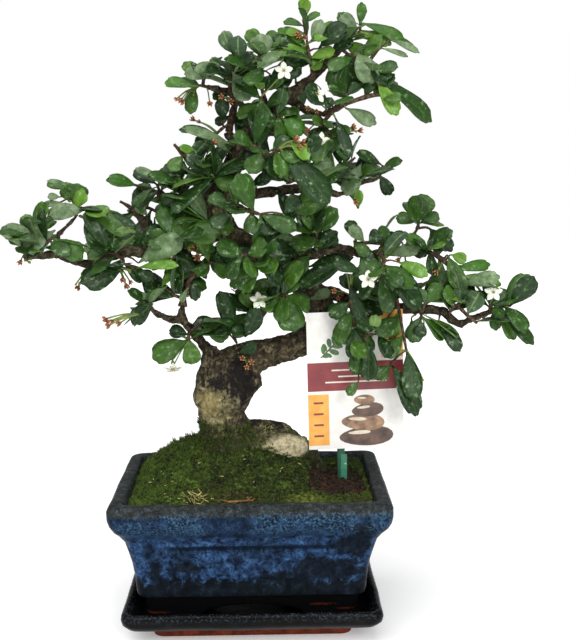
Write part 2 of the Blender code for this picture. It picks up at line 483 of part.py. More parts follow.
def blade(root, tip, width, facing, grow=0.0, start=0.0):
    """A toothed leaf, folded along its midrib, from its root to its tip."""
    along = tip - root
    length = along.length
    along.normalize()
    side = along.cross(facing).normalized()
    up = side.cross(along).normalized()
    half = width / 2 + grow
    thick = LEAF_THICK / 2 + grow

    def at(t, across, lift):
        rise = abs(across) * half * LEAF_FOLD + LEAF_ARCH * length * 4 * t * (1 - t)
        return root + along * (t * (length + grow)) + side * (across * half) + up * (rise + lift)

    outline = SMALL_OUTLINE if width < SMALL_LEAF else LEAF_OUTLINE
    root_across = LEAF_ROOT / half + (outline[0][1] - LEAF_ROOT / half) * start / outline[0][0]
    outline = [(start, root_across)] + outline
    verts = [at(t, -across, 0) for t, across in outline]
    verts.append(at(1.0, 0, 0))
    verts += [at(t, across, 0) for t, across in reversed(outline)]
    rim = len(verts)
    verts += [at(start, 0, thick), at(LEAF_MIDDLE, 0, thick), at(LEAF_MIDDLE, 0, -thick)]
    base, centre, under = rim, rim + 1, rim + 2
    faces = [(base, 0, 1), (base, 1, centre), (centre, rim - 2, base), (base, rim - 2, rim - 1)]
    faces += [(centre, k, k + 1) for k in range(1, rim - 2)]
    faces += [(under, (k + 1) % rim, k) for k in range(rim)]
    faces.append((base, rim - 1, 0))
    return verts, faces


def corolla(throat, facing):
    """A white bloom: five rounded lobes spread round a short funnel."""
    axis = Vector(facing).normalized()
    side = axis.orthogonal().normalized()
    up = axis.cross(side)
    throat = Vector(throat)

    def at(radius, angle, forward):
        return throat + axis * forward + (side * math.cos(angle) + up * math.sin(angle)) * radius

    lobes = 5
    step = 2 * math.pi / lobes
    profile = [(-0.5, 1.9, 0.2), (-0.24, 4.4, 0.6), (0.0, 5.5, 0.2), (0.24, 4.4, 0.6)]
    verts = [at(r, (k + turn) * step, forward) for k in range(lobes) for turn, r, forward in profile]
    rim = len(verts)
    verts += [at(1.2, k * step, -1.0) for k in range(lobes)]
    verts += [at(0.8, k * step, -BLOOM_LENGTH) for k in range(lobes)]
    verts.append(at(0, 0, 0.5))
    centre = len(verts) - 1
    faces = [(centre, k, (k + 1) % rim) for k in range(rim)]
    each = len(profile)
    for k in range(lobes):
        ring = rim + k
        following = rim + (k + 1) % lobes
        a = k * each
        faces += [(ring, a + 1, a), (ring, a + 2, a + 1), (ring, a + 3, a + 2)]
        faces += [(ring, (a + 4) % rim, a + 3), (ring, following, (a + 4) % rim)]
        faces += [(ring, ring + lobes, following + lobes), (ring, following + lobes, following)]
    faces += [(rim + lobes, rim + lobes + k + 1, rim + lobes + k) for k in range(1, lobes - 1)]
    return verts, faces


def slab(corners, thick):
    """A flat plate: a closed outline of points, and the vector of its thickness."""
    count = len(corners)
    verts = list(corners) + [c + thick for c in corners]
    faces = [tuple(range(count - 1, -1, -1)), tuple(range(count, 2 * count))]
    faces += [(k, (k + 1) % count, (k + 1) % count + count, k + count) for k in range(count)]
    return verts, faces


def box(low, high):
    corners = [Vector((low[0], low[1], low[2])), Vector((high[0], low[1], low[2])),
               Vector((high[0], high[1], low[2])), Vector((low[0], high[1], low[2]))]
    return slab(corners, Vector((0, 0, high[2] - low[2])))


# Blender side: materials, objects and fusing


def material(name, colour, roughness):
    mat = bpy.data.materials.new(name)
    mat.use_nodes = True
    shader = mat.node_tree.nodes["Principled BSDF"]
    shader.inputs["Base Color"].default_value = (*colour, 1)
    shader.inputs["Roughness"].default_value = roughness
    mat.diffuse_color = (*colour, 1)
    return mat


def is_bent(face):
    """Whether a face isn't flat, so that it has to be split into triangles."""
    centre = face.calc_center_median()
    return any(abs((vert.co - centre).dot(face.normal)) > 1e-4 * MM for vert in face.verts)


def add_object(name, shape, collection=None):
    """A Blender object from points in millimetres and faces, with outward normals."""
    verts, faces = shape
    mesh = bpy.data.meshes.new(name)
    mesh.from_pydata([v * MM for v in verts], [], faces)
    work = bmesh.new()
    work.from_mesh(mesh)
    bmesh.ops.recalc_face_normals(work, faces=work.faces)
    bent = [face for face in work.faces if is_bent(face)]
    bmesh.ops.triangulate(work, faces=bent)
    work.to_mesh(mesh)
    work.free()
    obj = bpy.data.objects.new(name, mesh)
    (collection or bpy.context.scene.collection).objects.link(obj)
    return obj


def combine(obj, shapes, operation):
    """Apply one Boolean of many shapes to an object, then remove the shapes."""
    tools = bpy.data.collections.new("tools")
    bpy.context.scene.collection.children.link(tools)
    for shape in shapes:
        tool = add_object("tool", shape, tools)
        tool.hide_render = True
        tool.display_type = "WIRE"
    modifier = obj.modifiers.new("combine", "BOOLEAN")
    modifier.operation = operation
    modifier.solver = "EXACT"
    modifier.operand_type = "COLLECTION"
    modifier.collection = tools
    graph = bpy.context.evaluated_depsgraph_get()
    graph.update()
    result = bpy.data.meshes.new_from_object(obj.evaluated_get(graph))
    obj.modifiers.clear()
    obj.data = result
    for tool in list(tools.objects):
        bpy.data.objects.remove(tool)
    bpy.data.collections.remove(tools)
    return obj


def face_bodies(work):
    """Groups of faces that hang together, the largest first."""
    seen = set()
    bodies = []
    for start in work.faces:
        if start in seen:
            continue
        seen.add(start)
        body = [start]
        for face in body:
            for edge in face.edges:
                for other in edge.link_faces:
                    if other not in seen:
                        seen.add(other)
                        body.append(other)
        bodies.append(body)
    return sorted(bodies, key=len, reverse=True)


def tidy_body(obj):
    """Weld, merge flat faces and drop sealed hollows and scraps, as far as it stays closed."""
    for weld, merge_flat in ((True, True), (True, False), (False, False)):
        work = bmesh.new()
        work.from_mesh(obj.data)
        if weld:
            bmesh.ops.remove_doubles(work, verts=work.verts, dist=WELD * MM)
        if merge_flat:
            bmesh.ops.dissolve_limit(work, angle_limit=FLAT_ANGLE, verts=work.verts, edges=work.edges)
        bmesh.ops.triangulate(work, faces=work.faces)
        loose = [face for body in face_bodies(work)[1:] for face in body]
        bmesh.ops.delete(work, geom=loose, context="FACES")
        closed = all(len(edge.link_faces) == 2 for edge in work.edges)
        if closed or not weld:
            work.to_mesh(obj.data)
            work.free()
            return
        work.free()


def node(name, shapes, mat):
    """One named piece, fused from its shapes."""
    obj = add_object(name, shapes[0])
    if len(shapes) > 1:
        combine(obj, shapes[1:], "UNION")
    tidy_body(obj)
    obj.data.materials.clear()
    obj.data.materials.append(mat)
    return obj


# Pot and saucer


def ring(half_width, z, corner, segments=2):
    """A rounded rectangle at one height, shallower than wide by DEPTH_STEP each side."""
    half_depth = half_width - DEPTH_STEP
    points = []
    for sx, sy, start in ((1, 1, 0), (-1, 1, 90), (-1, -1, 180), (1, -1, 270)):
        for k in range(segments + 1):
            angle = math.radians(start + 90 * k / segments)
            points.append(Vector((sx * (half_width - corner) + corner * math.cos(angle),
                                  sy * (half_depth - corner) + corner * math.sin(angle), z)))
    return points


def loft(rings):
    """A closed solid through rings of equal count, flat at both ends."""
    count = len(rings[0])
    verts = [v for r in rings for v in r]
    faces = [tuple(range(count - 1, -1, -1))]
    for j in range(len(rings) - 1):
        for k in range(count):
            a = j * count + k
            b = j * count + (k + 1) % count
            faces.append((a, b, b + count, a + count))
    faces.append(tuple(range(len(verts) - count, len(verts))))
    return verts, faces


def profile_rings(profile, corner, inside=()):
    rings = [ring(half, z, corner) for half, z in profile]
    return rings + [ring(half, z, corner - RIM_LOSS) for half, z in inside]


def saucer():
    rings = profile_rings(SAUCER_OUTSIDE, SAUCER_CORNER, SAUCER_INSIDE)
    rings.append(ring(SAUCER_INSIDE[-1][0] - 2, SAUCER_FLOOR, FLOOR_CORNER))
    return node("saucer", [loft(rings)], material("saucer_glaze", (0.01, 0.012, 0.015), 0.25))


def pot_half_width(z):
    """Outer half width of the pot's wall at a height."""
    for (lower, z0), (upper, z1) in zip(POT_OUTSIDE, POT_OUTSIDE[1:]):
        if z0 <= z <= z1:
            return lower + (upper - lower) * (z - z0) / (z1 - z0)
    return POT_OUTSIDE[-1][0]


def panel_groove(y_sign, x_sign):
    """Cutter for the sunk frame line on one wall of the pot."""
    top, bottom = PANEL_TOP, PANEL_BOTTOM
    at_top, at_bottom = pot_half_width(top), pot_half_width(bottom)
    lean = math.atan2(at_top - at_bottom, top - bottom)
    middle = (at_top + at_bottom) / 2
    half = PANEL_HALF if y_sign else PANEL_SIDE_HALF
    reach = (top - bottom) / 2
    tilt = Matrix.Rotation(-lean, 4, "X")
    turn = Matrix.Rotation(math.atan2(-x_sign, y_sign), 4, "Z")
    out = middle - DEPTH_STEP if y_sign else middle
    move = Matrix.Translation((0, out, (top + bottom) / 2))
    verts = []
    for y in (-PANEL_DEPTH, PANEL_CLEAR):
        for inset in (0, PANEL_GROOVE):
            for sx, sz in ((-1, -1), (1, -1), (1, 1), (-1, 1)):
                verts.append(turn @ move @ tilt @ Vector((sx * (half - inset), y, sz * (reach - inset))))
    deep_out, deep_in, open_out, open_in = range(0, len(verts), 4)
    faces = []
    for k in range(4):
        n = (k + 1) % 4
        faces += [(deep_out + k, deep_out + n, deep_in + n, deep_in + k),
                  (open_out + k, open_in + k, open_in + n, open_out + n),
                  (deep_out + k, open_out + k, open_out + n, deep_out + n),
                  (deep_in + k, deep_in + n, open_in + n, open_in + k)]
    return verts, faces


def pot():
    rings = profile_rings(POT_OUTSIDE, POT_CORNER, POT_INSIDE)
    rings.append(ring(POT_INSIDE[-1][0] - 3, POT_FLOOR, FLOOR_CORNER))
    foot_base = SAUCER_FLOOR + GAP
    foot = loft([ring(FOOT_HALF, foot_base, FOOT_CORNER),
                 ring(FOOT_HALF + 0.6, POT_BOTTOM + 1.5, FOOT_CORNER)])
    obj = node("pot", [loft(rings), foot], material("pot_glaze", (0.03, 0.07, 0.2), 0.3))
    inner = FOOT_HALF - FOOT_THICK
    cuts = [loft([ring(inner, foot_base - 1, FLOOR_CORNER),
                  ring(inner, POT_BOTTOM + 0.6, FLOOR_CORNER)])]
    for half, degrees in ARCH_ENDS:
        arch = [Vector((half, 0, -2))]
        for k in range(ARCH_STEPS + 1):
            angle = math.pi * k / ARCH_STEPS
            rise = FOOT_ARCH * math.sin(angle) ** ARCH_POWER
            arch.append(Vector((half * 0.92 * math.cos(angle), 0, rise)))
        arch.append(Vector((-half, 0, -2)))
        turn = Matrix.Rotation(math.radians(degrees), 4, "Z")
        corners = [turn @ (p + Vector((0, -POT_REACH, foot_base))) for p in arch]
        cuts.append(slab(corners, turn @ Vector((0, 2 * POT_REACH, 0))))
    for sx in (-1, 1):
        hole = [(sx * DRAIN_X, 0, 20, DRAIN_RADIUS), (sx * DRAIN_X, 0, 40, DRAIN_RADIUS)]
        cuts.append(tube(hole, 16))
    combine(obj, cuts, "DIFFERENCE")
    cuts = [panel_groove(y_sign, x_sign) for y_sign, x_sign in ((1, 0), (-1, 0), (0, 1), (0, -1))]
    combine(obj, cuts, "DIFFERENCE")
    tidy_body(obj)
    return obj


def drain_screen():
    """Plastic mesh strip on the pot floor, over both drain holes."""
    base = POT_FLOOR + GAP
    half = DRAIN_X + SCREEN_HALF
    plate = box((-half, -SCREEN_HALF, base), (half, SCREEN_HALF, base + SCREEN_THICK))
    obj = node("drain_screen", [plate], material("screen_plastic", (0.02, 0.02, 0.02), 0.6))
    pitch = (2 * SCREEN_HALF - SCREEN_BAR) / SCREEN_HOLES
    cuts = []
    for sx in (-1, 1):
        for column in range(SCREEN_HOLES):
            for row in range(SCREEN_HOLES):
                x = sx * DRAIN_X - SCREEN_HALF + SCREEN_BAR + column * pitch
                y = -SCREEN_HALF + SCREEN_BAR + row * pitch
                size = pitch - SCREEN_BAR
                cuts.append(box((x, y, base - 1), (x + size, y + size, base + SCREEN_THICK + 1)))
    combine(obj, cuts, "DIFFERENCE")
    tidy_body(obj)
    return obj


# Soil and moss


def ground(x, y):
    """Height of the moss over the mound."""
    height = EDGE_HEIGHT + 30 * math.exp(-((x + 14) / 38) ** 2 - ((y - 2) / 34) ** 2)
    height += 12.5 * math.exp(-((x + 47) / 26) ** 2 - ((y - 28) / 24) ** 2)
    height += 13 * math.exp(-((x - 20) / 20) ** 2 - ((y + 4) / 16) ** 2)
    height += 3 * math.exp(-((x - 62) / 16) ** 2 - ((y - 34) / 16) ** 2)
    height += 5 * math.exp(-((x - 56) / 15) ** 2 - ((y + 6) / 16) ** 2)
    edge = min(75 - abs(x), 54 - abs(y))
    fall = min(max(edge / 9, 0), 1)
    bumps = 1.1 * noise.noise(Vector((x, y, 0)) * 0.09) + 0.7 * noise.noise(Vector((x, y, 9)) * 0.21)
    return EDGE_HEIGHT - 1.5 + (height - EDGE_HEIGHT + 1.5) * fall + bumps


def terrain(low, drop):
    """A block over the whole pot with the ground on top, lowered by drop, down to low."""
    columns, rows = 11, 9
    xs = [(k - columns // 2) * GRID_STEP for k in range(columns)]
    ys = [(k - rows // 2) * GRID_STEP for k in range(rows)]
    verts = [Vector((x, y, ground(x, y) - drop)) for y in ys for x in xs]
    below = len(verts)
    verts += [Vector((x, y, ground(x, y) - drop - MOSS_THICK if low is None else low))
              for y in ys for x in xs]
    faces = []
    for j in range(rows - 1):
        for k in range(columns - 1):
            a = j * columns + k
            quad = (a, a + 1, a + columns + 1, a + columns)
            for corners in (quad[:3], (quad[0], *quad[2:])):
                faces.append(corners)
                if low is None:
                    faces.append(tuple(below + c for c in reversed(corners)))
    border = [k for k in range(columns)]
    border += [(j + 1) * columns - 1 for j in range(1, rows)]
    border += [(rows - 1) * columns + k for k in range(columns - 2, -1, -1)]
    border += [j * columns for j in range(rows - 2, 0, -1)]
    for a, b in zip(border, border[1:] + border[:1]):
        faces += [(a, below + a, below + b), (a, below + b, b)]
    if low is not None:
        keep = sorted(border)
        index = {a: below + n for n, a in enumerate(keep)}
        verts = verts[:below] + [verts[below + a] for a in keep]
        faces = [tuple(index.get(c - below, c) if c >= below else c for c in f) for f in faces]
        faces.append(tuple(index[a] for a in border[::-1]))
    return verts, faces


def cavity(shrink, top):
    """The inside of the pot, smaller by shrink all round, up to the height top."""
    profile = [(half - shrink, z) for half, z in reversed(POT_INSIDE[1:])]
    rings = [ring(profile[0][0] - 3.2, POT_FLOOR + SCREEN_THICK + 2 * GAP, FLOOR_CORNER)]
    rings += [ring(half, z, FLOOR_CORNER) for half, z in profile[:-1]]
    rings.append(ring(POT_INSIDE[2][0] - shrink, top, FLOOR_CORNER))
    return loft(rings)


def root_shapes(grow):
    """The underground part of the wood, which is also the hole that it stands in."""
    shapes = [tube(TRUNK[:6], TRUNK_SIDES, 0.2, grow)]
    for k, path in enumerate(ROOTS):
        longer = list(path)
        x, y, z, radius = path[-1]
        px, py, pz, _ = path[-2]
        reach = Vector((x - px, y - py, z - pz)).normalized() * grow
        longer[-1] = (x + reach.x, y + reach.y, z + reach.z, radius)
        shapes.append(tube(longer, ROOT_SIDES, 0.16, grow))
    return shapes


def stake_outline(grow):
    """The stick in plan, with a rib down the middle of its back."""
    x0 = STAKE_X - STAKE_WIDTH / 2 - grow
    x1 = STAKE_X + STAKE_WIDTH / 2 + grow
    front = CARD_CORNER[1] + CARD_THICK + GAP
    y0 = front - grow
    y1 = front + STAKE_THICK + grow
    return x0, x1, y0, y1


def stake_body(grow):
    x0, x1, y0, y1 = stake_outline(grow)
    top = CARD_CORNER[2] + CARD_HEIGHT + 4.5
    corners = [Vector((x0 + 3, y0, STAKE_FOOT - grow)), Vector((x1 - 3, y0, STAKE_FOOT - grow)),
               Vector((x1, y0, STAKE_FOOT + 9)), Vector((x1, y0, top)), Vector((x0, y0, top)),
               Vector((x0, y0, STAKE_FOOT + 9))]
    return slab(corners, Vector((0, y1 - y0, 0)))


def earth(wood_hole):
    """The potting soil, and the moss carpet that covers it but for a bare patch."""
    holes = wood_hole + [stake_body(GAP)]
    soil_obj = add_object("soil", terrain(POT_FLOOR, MOSS_THICK + GAP))
    combine(soil_obj, [cavity(GAP, 140)], "INTERSECT")
    combine(soil_obj, holes, "DIFFERENCE")
    tidy_body(soil_obj)
    soil_obj.data.materials.clear()
    soil_obj.data.materials.append(material("soil", (0.05, 0.03, 0.02), 0.95))
    moss_obj = add_object("moss", terrain(None, 0))
    combine(moss_obj, [cavity(GAP, 140)], "INTERSECT")
    clear = [slab([Vector((x, y, 70)) for x, y in outline], Vector((0, 0, 60)))
             for outline in (BARE_PATCH, WOOD_PATCH)]
    combine(moss_obj, clear, "DIFFERENCE")
    tidy_body(moss_obj)
    moss_obj.data.materials.clear()
    moss_obj.data.materials.append(material("moss", (0.06, 0.12, 0.02), 0.95))


# Label


def card_point(u, v, y):
    """A point of the card from its lower left corner, with its slight lean."""
    x = CARD_CORNER[0] + u * math.cos(CARD_LEAN) - v * math.sin(CARD_LEAN) * 0.5
    z = CARD_CORNER[2] + v * math.cos(CARD_LEAN) + u * math.sin(CARD_LEAN)
    return Vector((x, y, z))


def card_shape(grow=0.0):
    corners = [card_point(u, v, CARD_CORNER[1] - grow)
               for u, v in ((-grow, -grow), (CARD_WIDTH + grow, -grow),
                            (CARD_WIDTH + grow, CARD_HEIGHT + grow), (-grow, CARD_HEIGHT + grow))]
    return slab(corners, Vector((0, CARD_THICK + 2 * grow, 0)))


def stake_shapes():
    """The stick, its rib and the hook over the card's top edge."""
    x0, x1, y0, y1 = stake_outline(0)
    edge = CARD_CORNER[2] + CARD_HEIGHT + (STAKE_X - CARD_CORNER[0]) * math.sin(CARD_LEAN)
    front = CARD_CORNER[1] - GAP - 1.0
    rib = box((STAKE_X - 0.7, y1 - 0.2, 96), (STAKE_X + 0.7, y1 + 0.9, edge - 3))
    bridge = box((x0 + 1, front, edge + 0.6), (x1 - 1, y0 + 0.5, edge + 2.4))
    lip = box((x0 + 1.02, front + 0.02, edge - 3.5), (x1 - 1.02, front + 1.0, edge + 2.3))
    return [stake_body(0), rib, bridge, lip]


# The tree


def at_depth(x, z, y):
    """The place at depth y that the eye sees at (x, z) on the tree's middle plane."""
    share = (y - EYE[1]) / -EYE[1]
    return Vector((EYE[0] + (x - EYE[0]) * share, y, EYE[2] + (z - EYE[2]) * share))


def as_seen(place):
    """Where on the tree's middle plane the eye sees a place."""
    share = -EYE[1] / (place[1] - EYE[1])
    return Vector((EYE[0] + (place[0] - EYE[0]) * share, EYE[2] + (place[2] - EYE[2]) * share))


def swayed(path):
    """A path moved in depth as SWAY says, kept in its place to the eye; any radius stays."""
    moved = []
    for x, y, z, *radius in path:
        for centre_x, centre_z, spread_x, spread_z, shift in SWAY:
            y += shift * math.exp(-((x - centre_x) / spread_x) ** 2 - ((z - centre_z) / spread_z) ** 2)
        moved.append((*at_depth(x, z, y), *radius))
    return moved


def wood_shapes():
    shapes = [tube(TRUNK, TRUNK_SIDES, 0.2)]
    shapes += [tube(path, ROOT_SIDES, 0.16) for path in ROOTS]
    shapes += [tube(path, 6, 0.2) for path in BURL]
    shapes += [tube(path, 5, 0.16) for path in map(swayed, BRANCHES.values())]
    return shapes


class Crowd:
    """What stands already, to keep the next leaf clear of it."""

    def __init__(self):
        self.items = []

    def add(self, shape, owner, kind, free=None):
        """Note a shape; free is a leaf's part outside its twig, for its sibling leaves."""
        verts, faces = shape
        centre = sum(verts, Vector()) / len(verts)
        radius = max((v - centre).length for v in verts)
        tree = BVHTree.FromPolygons(verts, faces)
        free_tree = BVHTree.FromPolygons(*free) if free else None
        self.items.append((centre, radius, tree, owner, kind, free_tree))

    def hits(self, shape, owner, free):
        """Whether a leaf meets another shoot's pieces, or its free part a sibling's."""
        verts, faces = shape
        centre = sum(verts, Vector()) / len(verts)
        radius = max((v - centre).length for v in verts)
        tree = BVHTree.FromPolygons(verts, faces)
        free_tree = BVHTree.FromPolygons(*free)
        for other_centre, other_radius, other, other_owner, kind, other_free in self.items:
            if (centre - other_centre).length > radius + other_radius:
                continue
            if other_owner != owner:
                if tree.overlap(other):
                    return True
            elif free_tree.overlap(other_free or other):
                return True
        return False

    def depth_outside(self, point, kind):
        """Distance from the surfaces of one kind, negative inside one of them."""
        nearest = 99.0
        for centre, radius, tree, _, item_kind, _ in self.items:
            if item_kind != kind or (point - centre).length > radius + 3:
                continue
            place, normal, _, distance = tree.find_nearest(point)
            if (point - place).dot(normal) < 0:
                return -distance
            nearest = min(nearest, distance)
        return nearest


def with_radii(path):
    """Twig points as (x, y, z, radius), thinning to the tip where no radius is given."""
    last = len(path) - 1
    return [p if len(p) == 4 else (*p, TWIG_RADIUS - 0.35 * k / last) for k, p in enumerate(path)]


def seat_twig(path, crowd):
    """Start a twig just off the bark: move its first point out until it is clear."""
    start = Vector(path[0][:3])
    radius = path[0][3]
    following = Vector(path[1][:3])
    along = (following - start).normalized()
    side = along.orthogonal().normalized()
    up = along.cross(side)
    turns = [2 * math.pi * k / 12 for k in range(12)]
    rim = [(side * math.cos(turn) + up * math.sin(turn)) * radius for turn in turns]
    for k in range(int((following - start).length / SEAT_STEP)):
        point = start + along * (SEAT_STEP * k)
        near = [point] + [point + r * share for r in rim for share in (0.35, 0.7, 1)]
        near += [point + r + along * 1.5 for r in rim]
        if min(crowd.depth_outside(place, "wood") for place in near) >= GAP:
            return [(*point, radius)] + list(path[1:])
    return path


def closest_on(route, place):
    """The point of one twig's centre line that lies closest to a place."""
    best = None
    for a, b in zip(route, route[1:]):
        a, b = Vector(a[:3]), Vector(b[:3])
        t = (place - a).dot(b - a) / (b - a).length_squared
        point = a.lerp(b, min(max(t, 0.05), 0.95))
        if best is None or (point - place).length < (best - place).length:
            best = point
    return best


def nearest_on(twigs, x, z, taken=()):
    """The free point of a shoot's twigs that lies nearest to (x, z) as seen from the front."""
    best = None
    for path in twigs:
        for a, b in zip(path, path[1:]):
            a, b = Vector(a[:3]), Vector(b[:3])
            stops = max(int((b - a).length / 0.4), 2)
            for k in range(stops):
                point = a.lerp(b, 0.1 + 0.88 * k / (stops - 1))
                if any((point - other).length < ROOT_SPACING for other in taken):
                    continue
                away = (as_seen(point) - Vector((x, z))).length
                if best is None or away < best[0]:
                    best = (away, point)
    return best[1] if best else nearest_on(twigs, x, z)


def stalk(start, place, head, arrival=None):
    """A thin stalk: to a dried calyx where it has a head, else to the back of a bloom."""
    if head:
        run = (place - start).normalized()
        path = [(*start, 0.5), (*(place - run * 1.4), 0.45), (*place, 1.5), (*(place + run * 2.4), 0.7)]
    else:
        path = [(*start, 0.5), (*(place - arrival * 2.5), 0.45), (*place, 0.45)]
    return tube(path, 3)


def try_leaf(crowd, name, root, tip, width, facing):
    """The leaf if it stands clear of everything but its own twig, else None."""
    length = (tip - root).length
    inflated = blade(root, tip, width, facing, GAP)
    free = blade(root, tip, width, facing, 0, min(ROOT_COVER / length, 0.3))
    if crowd.hits(inflated, name, free):
        return None
    shape = blade(root, tip, width, facing)
    crowd.add(shape, name, "leaf", free)
    return shape


def grow_twigs(crowd):
    """Seat the twigs of every shoot on the wood."""
    twigs = {}
    for name, plan in SHOOTS.items():
        routes = [with_radii(swayed(path)) for path in plan["twigs"]]
        routes[0] = seat_twig(routes[0], crowd)
        for route in routes[1:]:
            route[0] = (*closest_on(routes[0], Vector(route[0][:3])), route[0][3])
        twigs[name] = routes
    for name, routes in twigs.items():
        for route in routes:
            crowd.add(tube(route, TWIG_SIDES), name, "twig")
    return twigs


def grow_blooms(crowd, twigs):
    """Stalks for blooms and calyxes; returns them by shoot, with the open blooms apart."""
    extras = {name: [] for name in SHOOTS}
    blooms = {}
    plans = [(name, *plan, False) for name, plan in FLOWERS.items()]
    plans += [(None, *plan, True) for plan in FUSED_FLOWERS]
    for name, shoot, throat, facing, fused in plans:
        axis = Vector(facing).normalized()
        throat = Vector(swayed([throat])[0])
        shape = corolla(throat, axis)
        crowd.add(shape, name or shoot, "bloom")
        start = nearest_on(twigs[shoot], *as_seen(throat))
        back = throat - axis * (BLOOM_LENGTH - 0.6 if fused else BLOOM_LENGTH + GAP)
        stem = stalk(start, back, False, axis)
        crowd.add(stem, shoot, "stalk")
        extras[shoot].append(stem)
        if fused:
            extras[shoot].append(shape)
        else:
            blooms[name] = shape
    for name, plan in SHOOTS.items():
        for place in plan.get("calyxes", []):
            place = Vector(swayed([place])[0])
            shape = stalk(nearest_on(twigs[name], *as_seen(place)), place, True)
            crowd.add(shape, name, "stalk")
            extras[name].append(shape)
    return extras, blooms


def seen_leaves(crowd, twigs):
    """The leaves read from the front, with a depth that keeps them clear."""
    leaves = {name: [] for name in SHOOTS}
    for name, plan in SHOOTS.items():
        chance = random.Random(name)
        for root_x, root_z, tip_x, tip_z, width in plan["leaves"]:
            taken = [leaf[0] for leaf in leaves[name]]
            root = nearest_on(twigs[name], root_x, root_z, taken)
            reach = (as_seen(root) - Vector((tip_x, tip_z))).length
            slant = chance.uniform(-0.6, 0.4)
            turn = chance.uniform(-0.45, 0.45)
            for change in DEPTH_TRIES:
                tip = at_depth(tip_x, tip_z, root.y + (slant + change) * reach)
                facing = Vector((turn, -0.8, 0.6))
                shape = try_leaf(crowd, name, root, tip, width, facing)
                if shape:
                    leaves[name].append((root, tip, width, facing))
                    break
    return leaves


def more_leaves(crowd, twigs, leaves):
    """Further leaves round the twigs, turned outward, where there is room."""
    for name, plan in SHOOTS.items():
        chance = random.Random(name + MORE)
        placed = 0
        wanted = plan.get("more", 0)
        for _ in range(wanted * LEAF_TRIES):
            if placed == wanted:
                break
            route = chance.choice(twigs[name])
            k = chance.randrange(len(route) - 1)
            a, b = Vector(route[k][:3]), Vector(route[k + 1][:3])
            root = a.lerp(b, chance.uniform(0.25, 0.95))
            if any((root - leaf[0]).length < ROOT_SPACING for leaf in leaves[name]):
                continue
            twist = chance.uniform(0, 2 * math.pi)
            along = (b - a).normalized()
            side = along.orthogonal().normalized()
            out = side * math.cos(twist) + along.cross(side) * math.sin(twist)
            heading = (out + along * chance.uniform(0.2, 1.0) + Vector((0, 0, 0.15))).normalized()
            length = chance.uniform(*MORE_LENGTH)
            width = length * chance.uniform(*MORE_WIDTH)
            facing = Vector((chance.uniform(-0.4, 0.4), chance.uniform(-0.6, 0.3), 1))
            tip = root + heading * length
            if not inside_limits(tip):
                continue
            if try_leaf(crowd, name, root, tip, width, facing):
                leaves[name].append((root, tip, width, facing))
                placed += 1
    return leaves


def inside_limits(tip):
    """Whether a leaf tip stays within the tree's outline as seen from the front."""
    x, z = as_seen(tip)
    for x0, x1, z0, z1 in EMPTY_SKY:
        if x0 < x < x1 and z0 < z < z1:
            return False
    return True


def tree():
    """The wood, and every leafy shoot with its twigs, stalks and leaves fused."""
    crowd = Crowd()
    wood = wood_shapes()
    for shape in wood:
        crowd.add(shape, "wood", "wood")
    crowd.add(card_shape(GAP), "card", "card")
    for shape in stake_shapes():
        crowd.add(shape, "stake", "stake")
    twigs = grow_twigs(crowd)
    extras, blooms = grow_blooms(crowd, twigs)
    leaves = seen_leaves(crowd, twigs)
    leaves = more_leaves(crowd, twigs, leaves)
    obj = node("wood", wood, material("bark", (0.16, 0.11, 0.07), 0.9))
    combine(obj, [tube(path, 5) for path in HOLLOWS], "DIFFERENCE")
    tidy_body(obj)
    green = material("leaf", (0.04, 0.12, 0.03), 0.4)
    for name, routes in twigs.items():
        shapes = [tube(route, TWIG_SIDES) for route in routes] + extras[name]
        shapes += [blade(*leaf) for leaf in leaves[name]]
        node("shoot_" + name, shapes, green)
    white = material("petal", (0.85, 0.86, 0.8), 0.5)
    for name, shape in blooms.items():
        node(name, [shape], white)


def build():
    for obj in list(bpy.data.objects):
        bpy.data.objects.remove(obj)
    saucer()
    pot()
    drain_screen()
    earth(root_shapes(GAP))
    tree()
    node("label_card", [card_shape()], material("card", (0.8, 0.75, 0.65), 0.5))
    node("label_stake", stake_shapes(), material("stake_plastic", (0.02, 0.12, 0.07), 0.45))


build()
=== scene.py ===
"""Looks of a fukien tea bonsai in its glazed pot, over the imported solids.

Lengths are in millimetres and MM turns them into metres. The frame is the solids' own: its
origin is the middle of the saucer's underside, +X to the right, +Y to the back, +Z up.
"""
import math
import random

import bmesh
import bpy
from mathutils import Matrix, Vector, noise
from mathutils.bvhtree import BVHTree
from mathutils.kdtree import KDTree


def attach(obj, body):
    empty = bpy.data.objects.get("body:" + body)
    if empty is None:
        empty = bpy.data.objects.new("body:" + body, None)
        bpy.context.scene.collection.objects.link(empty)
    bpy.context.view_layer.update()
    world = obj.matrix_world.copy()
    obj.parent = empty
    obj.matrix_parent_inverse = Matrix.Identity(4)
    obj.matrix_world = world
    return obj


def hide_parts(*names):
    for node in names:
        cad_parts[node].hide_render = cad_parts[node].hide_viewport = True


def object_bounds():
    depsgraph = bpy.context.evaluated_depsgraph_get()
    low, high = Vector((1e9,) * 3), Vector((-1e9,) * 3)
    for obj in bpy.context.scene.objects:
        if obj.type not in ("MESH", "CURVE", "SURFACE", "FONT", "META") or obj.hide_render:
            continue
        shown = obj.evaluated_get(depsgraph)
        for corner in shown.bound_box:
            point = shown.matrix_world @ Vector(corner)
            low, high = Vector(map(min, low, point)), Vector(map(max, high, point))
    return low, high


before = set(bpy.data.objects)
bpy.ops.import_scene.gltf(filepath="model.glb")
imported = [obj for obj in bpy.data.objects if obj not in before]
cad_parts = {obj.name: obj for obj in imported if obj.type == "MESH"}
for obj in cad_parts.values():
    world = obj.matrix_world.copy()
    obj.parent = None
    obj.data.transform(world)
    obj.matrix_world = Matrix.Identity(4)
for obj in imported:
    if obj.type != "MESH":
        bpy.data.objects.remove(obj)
solid_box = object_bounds()


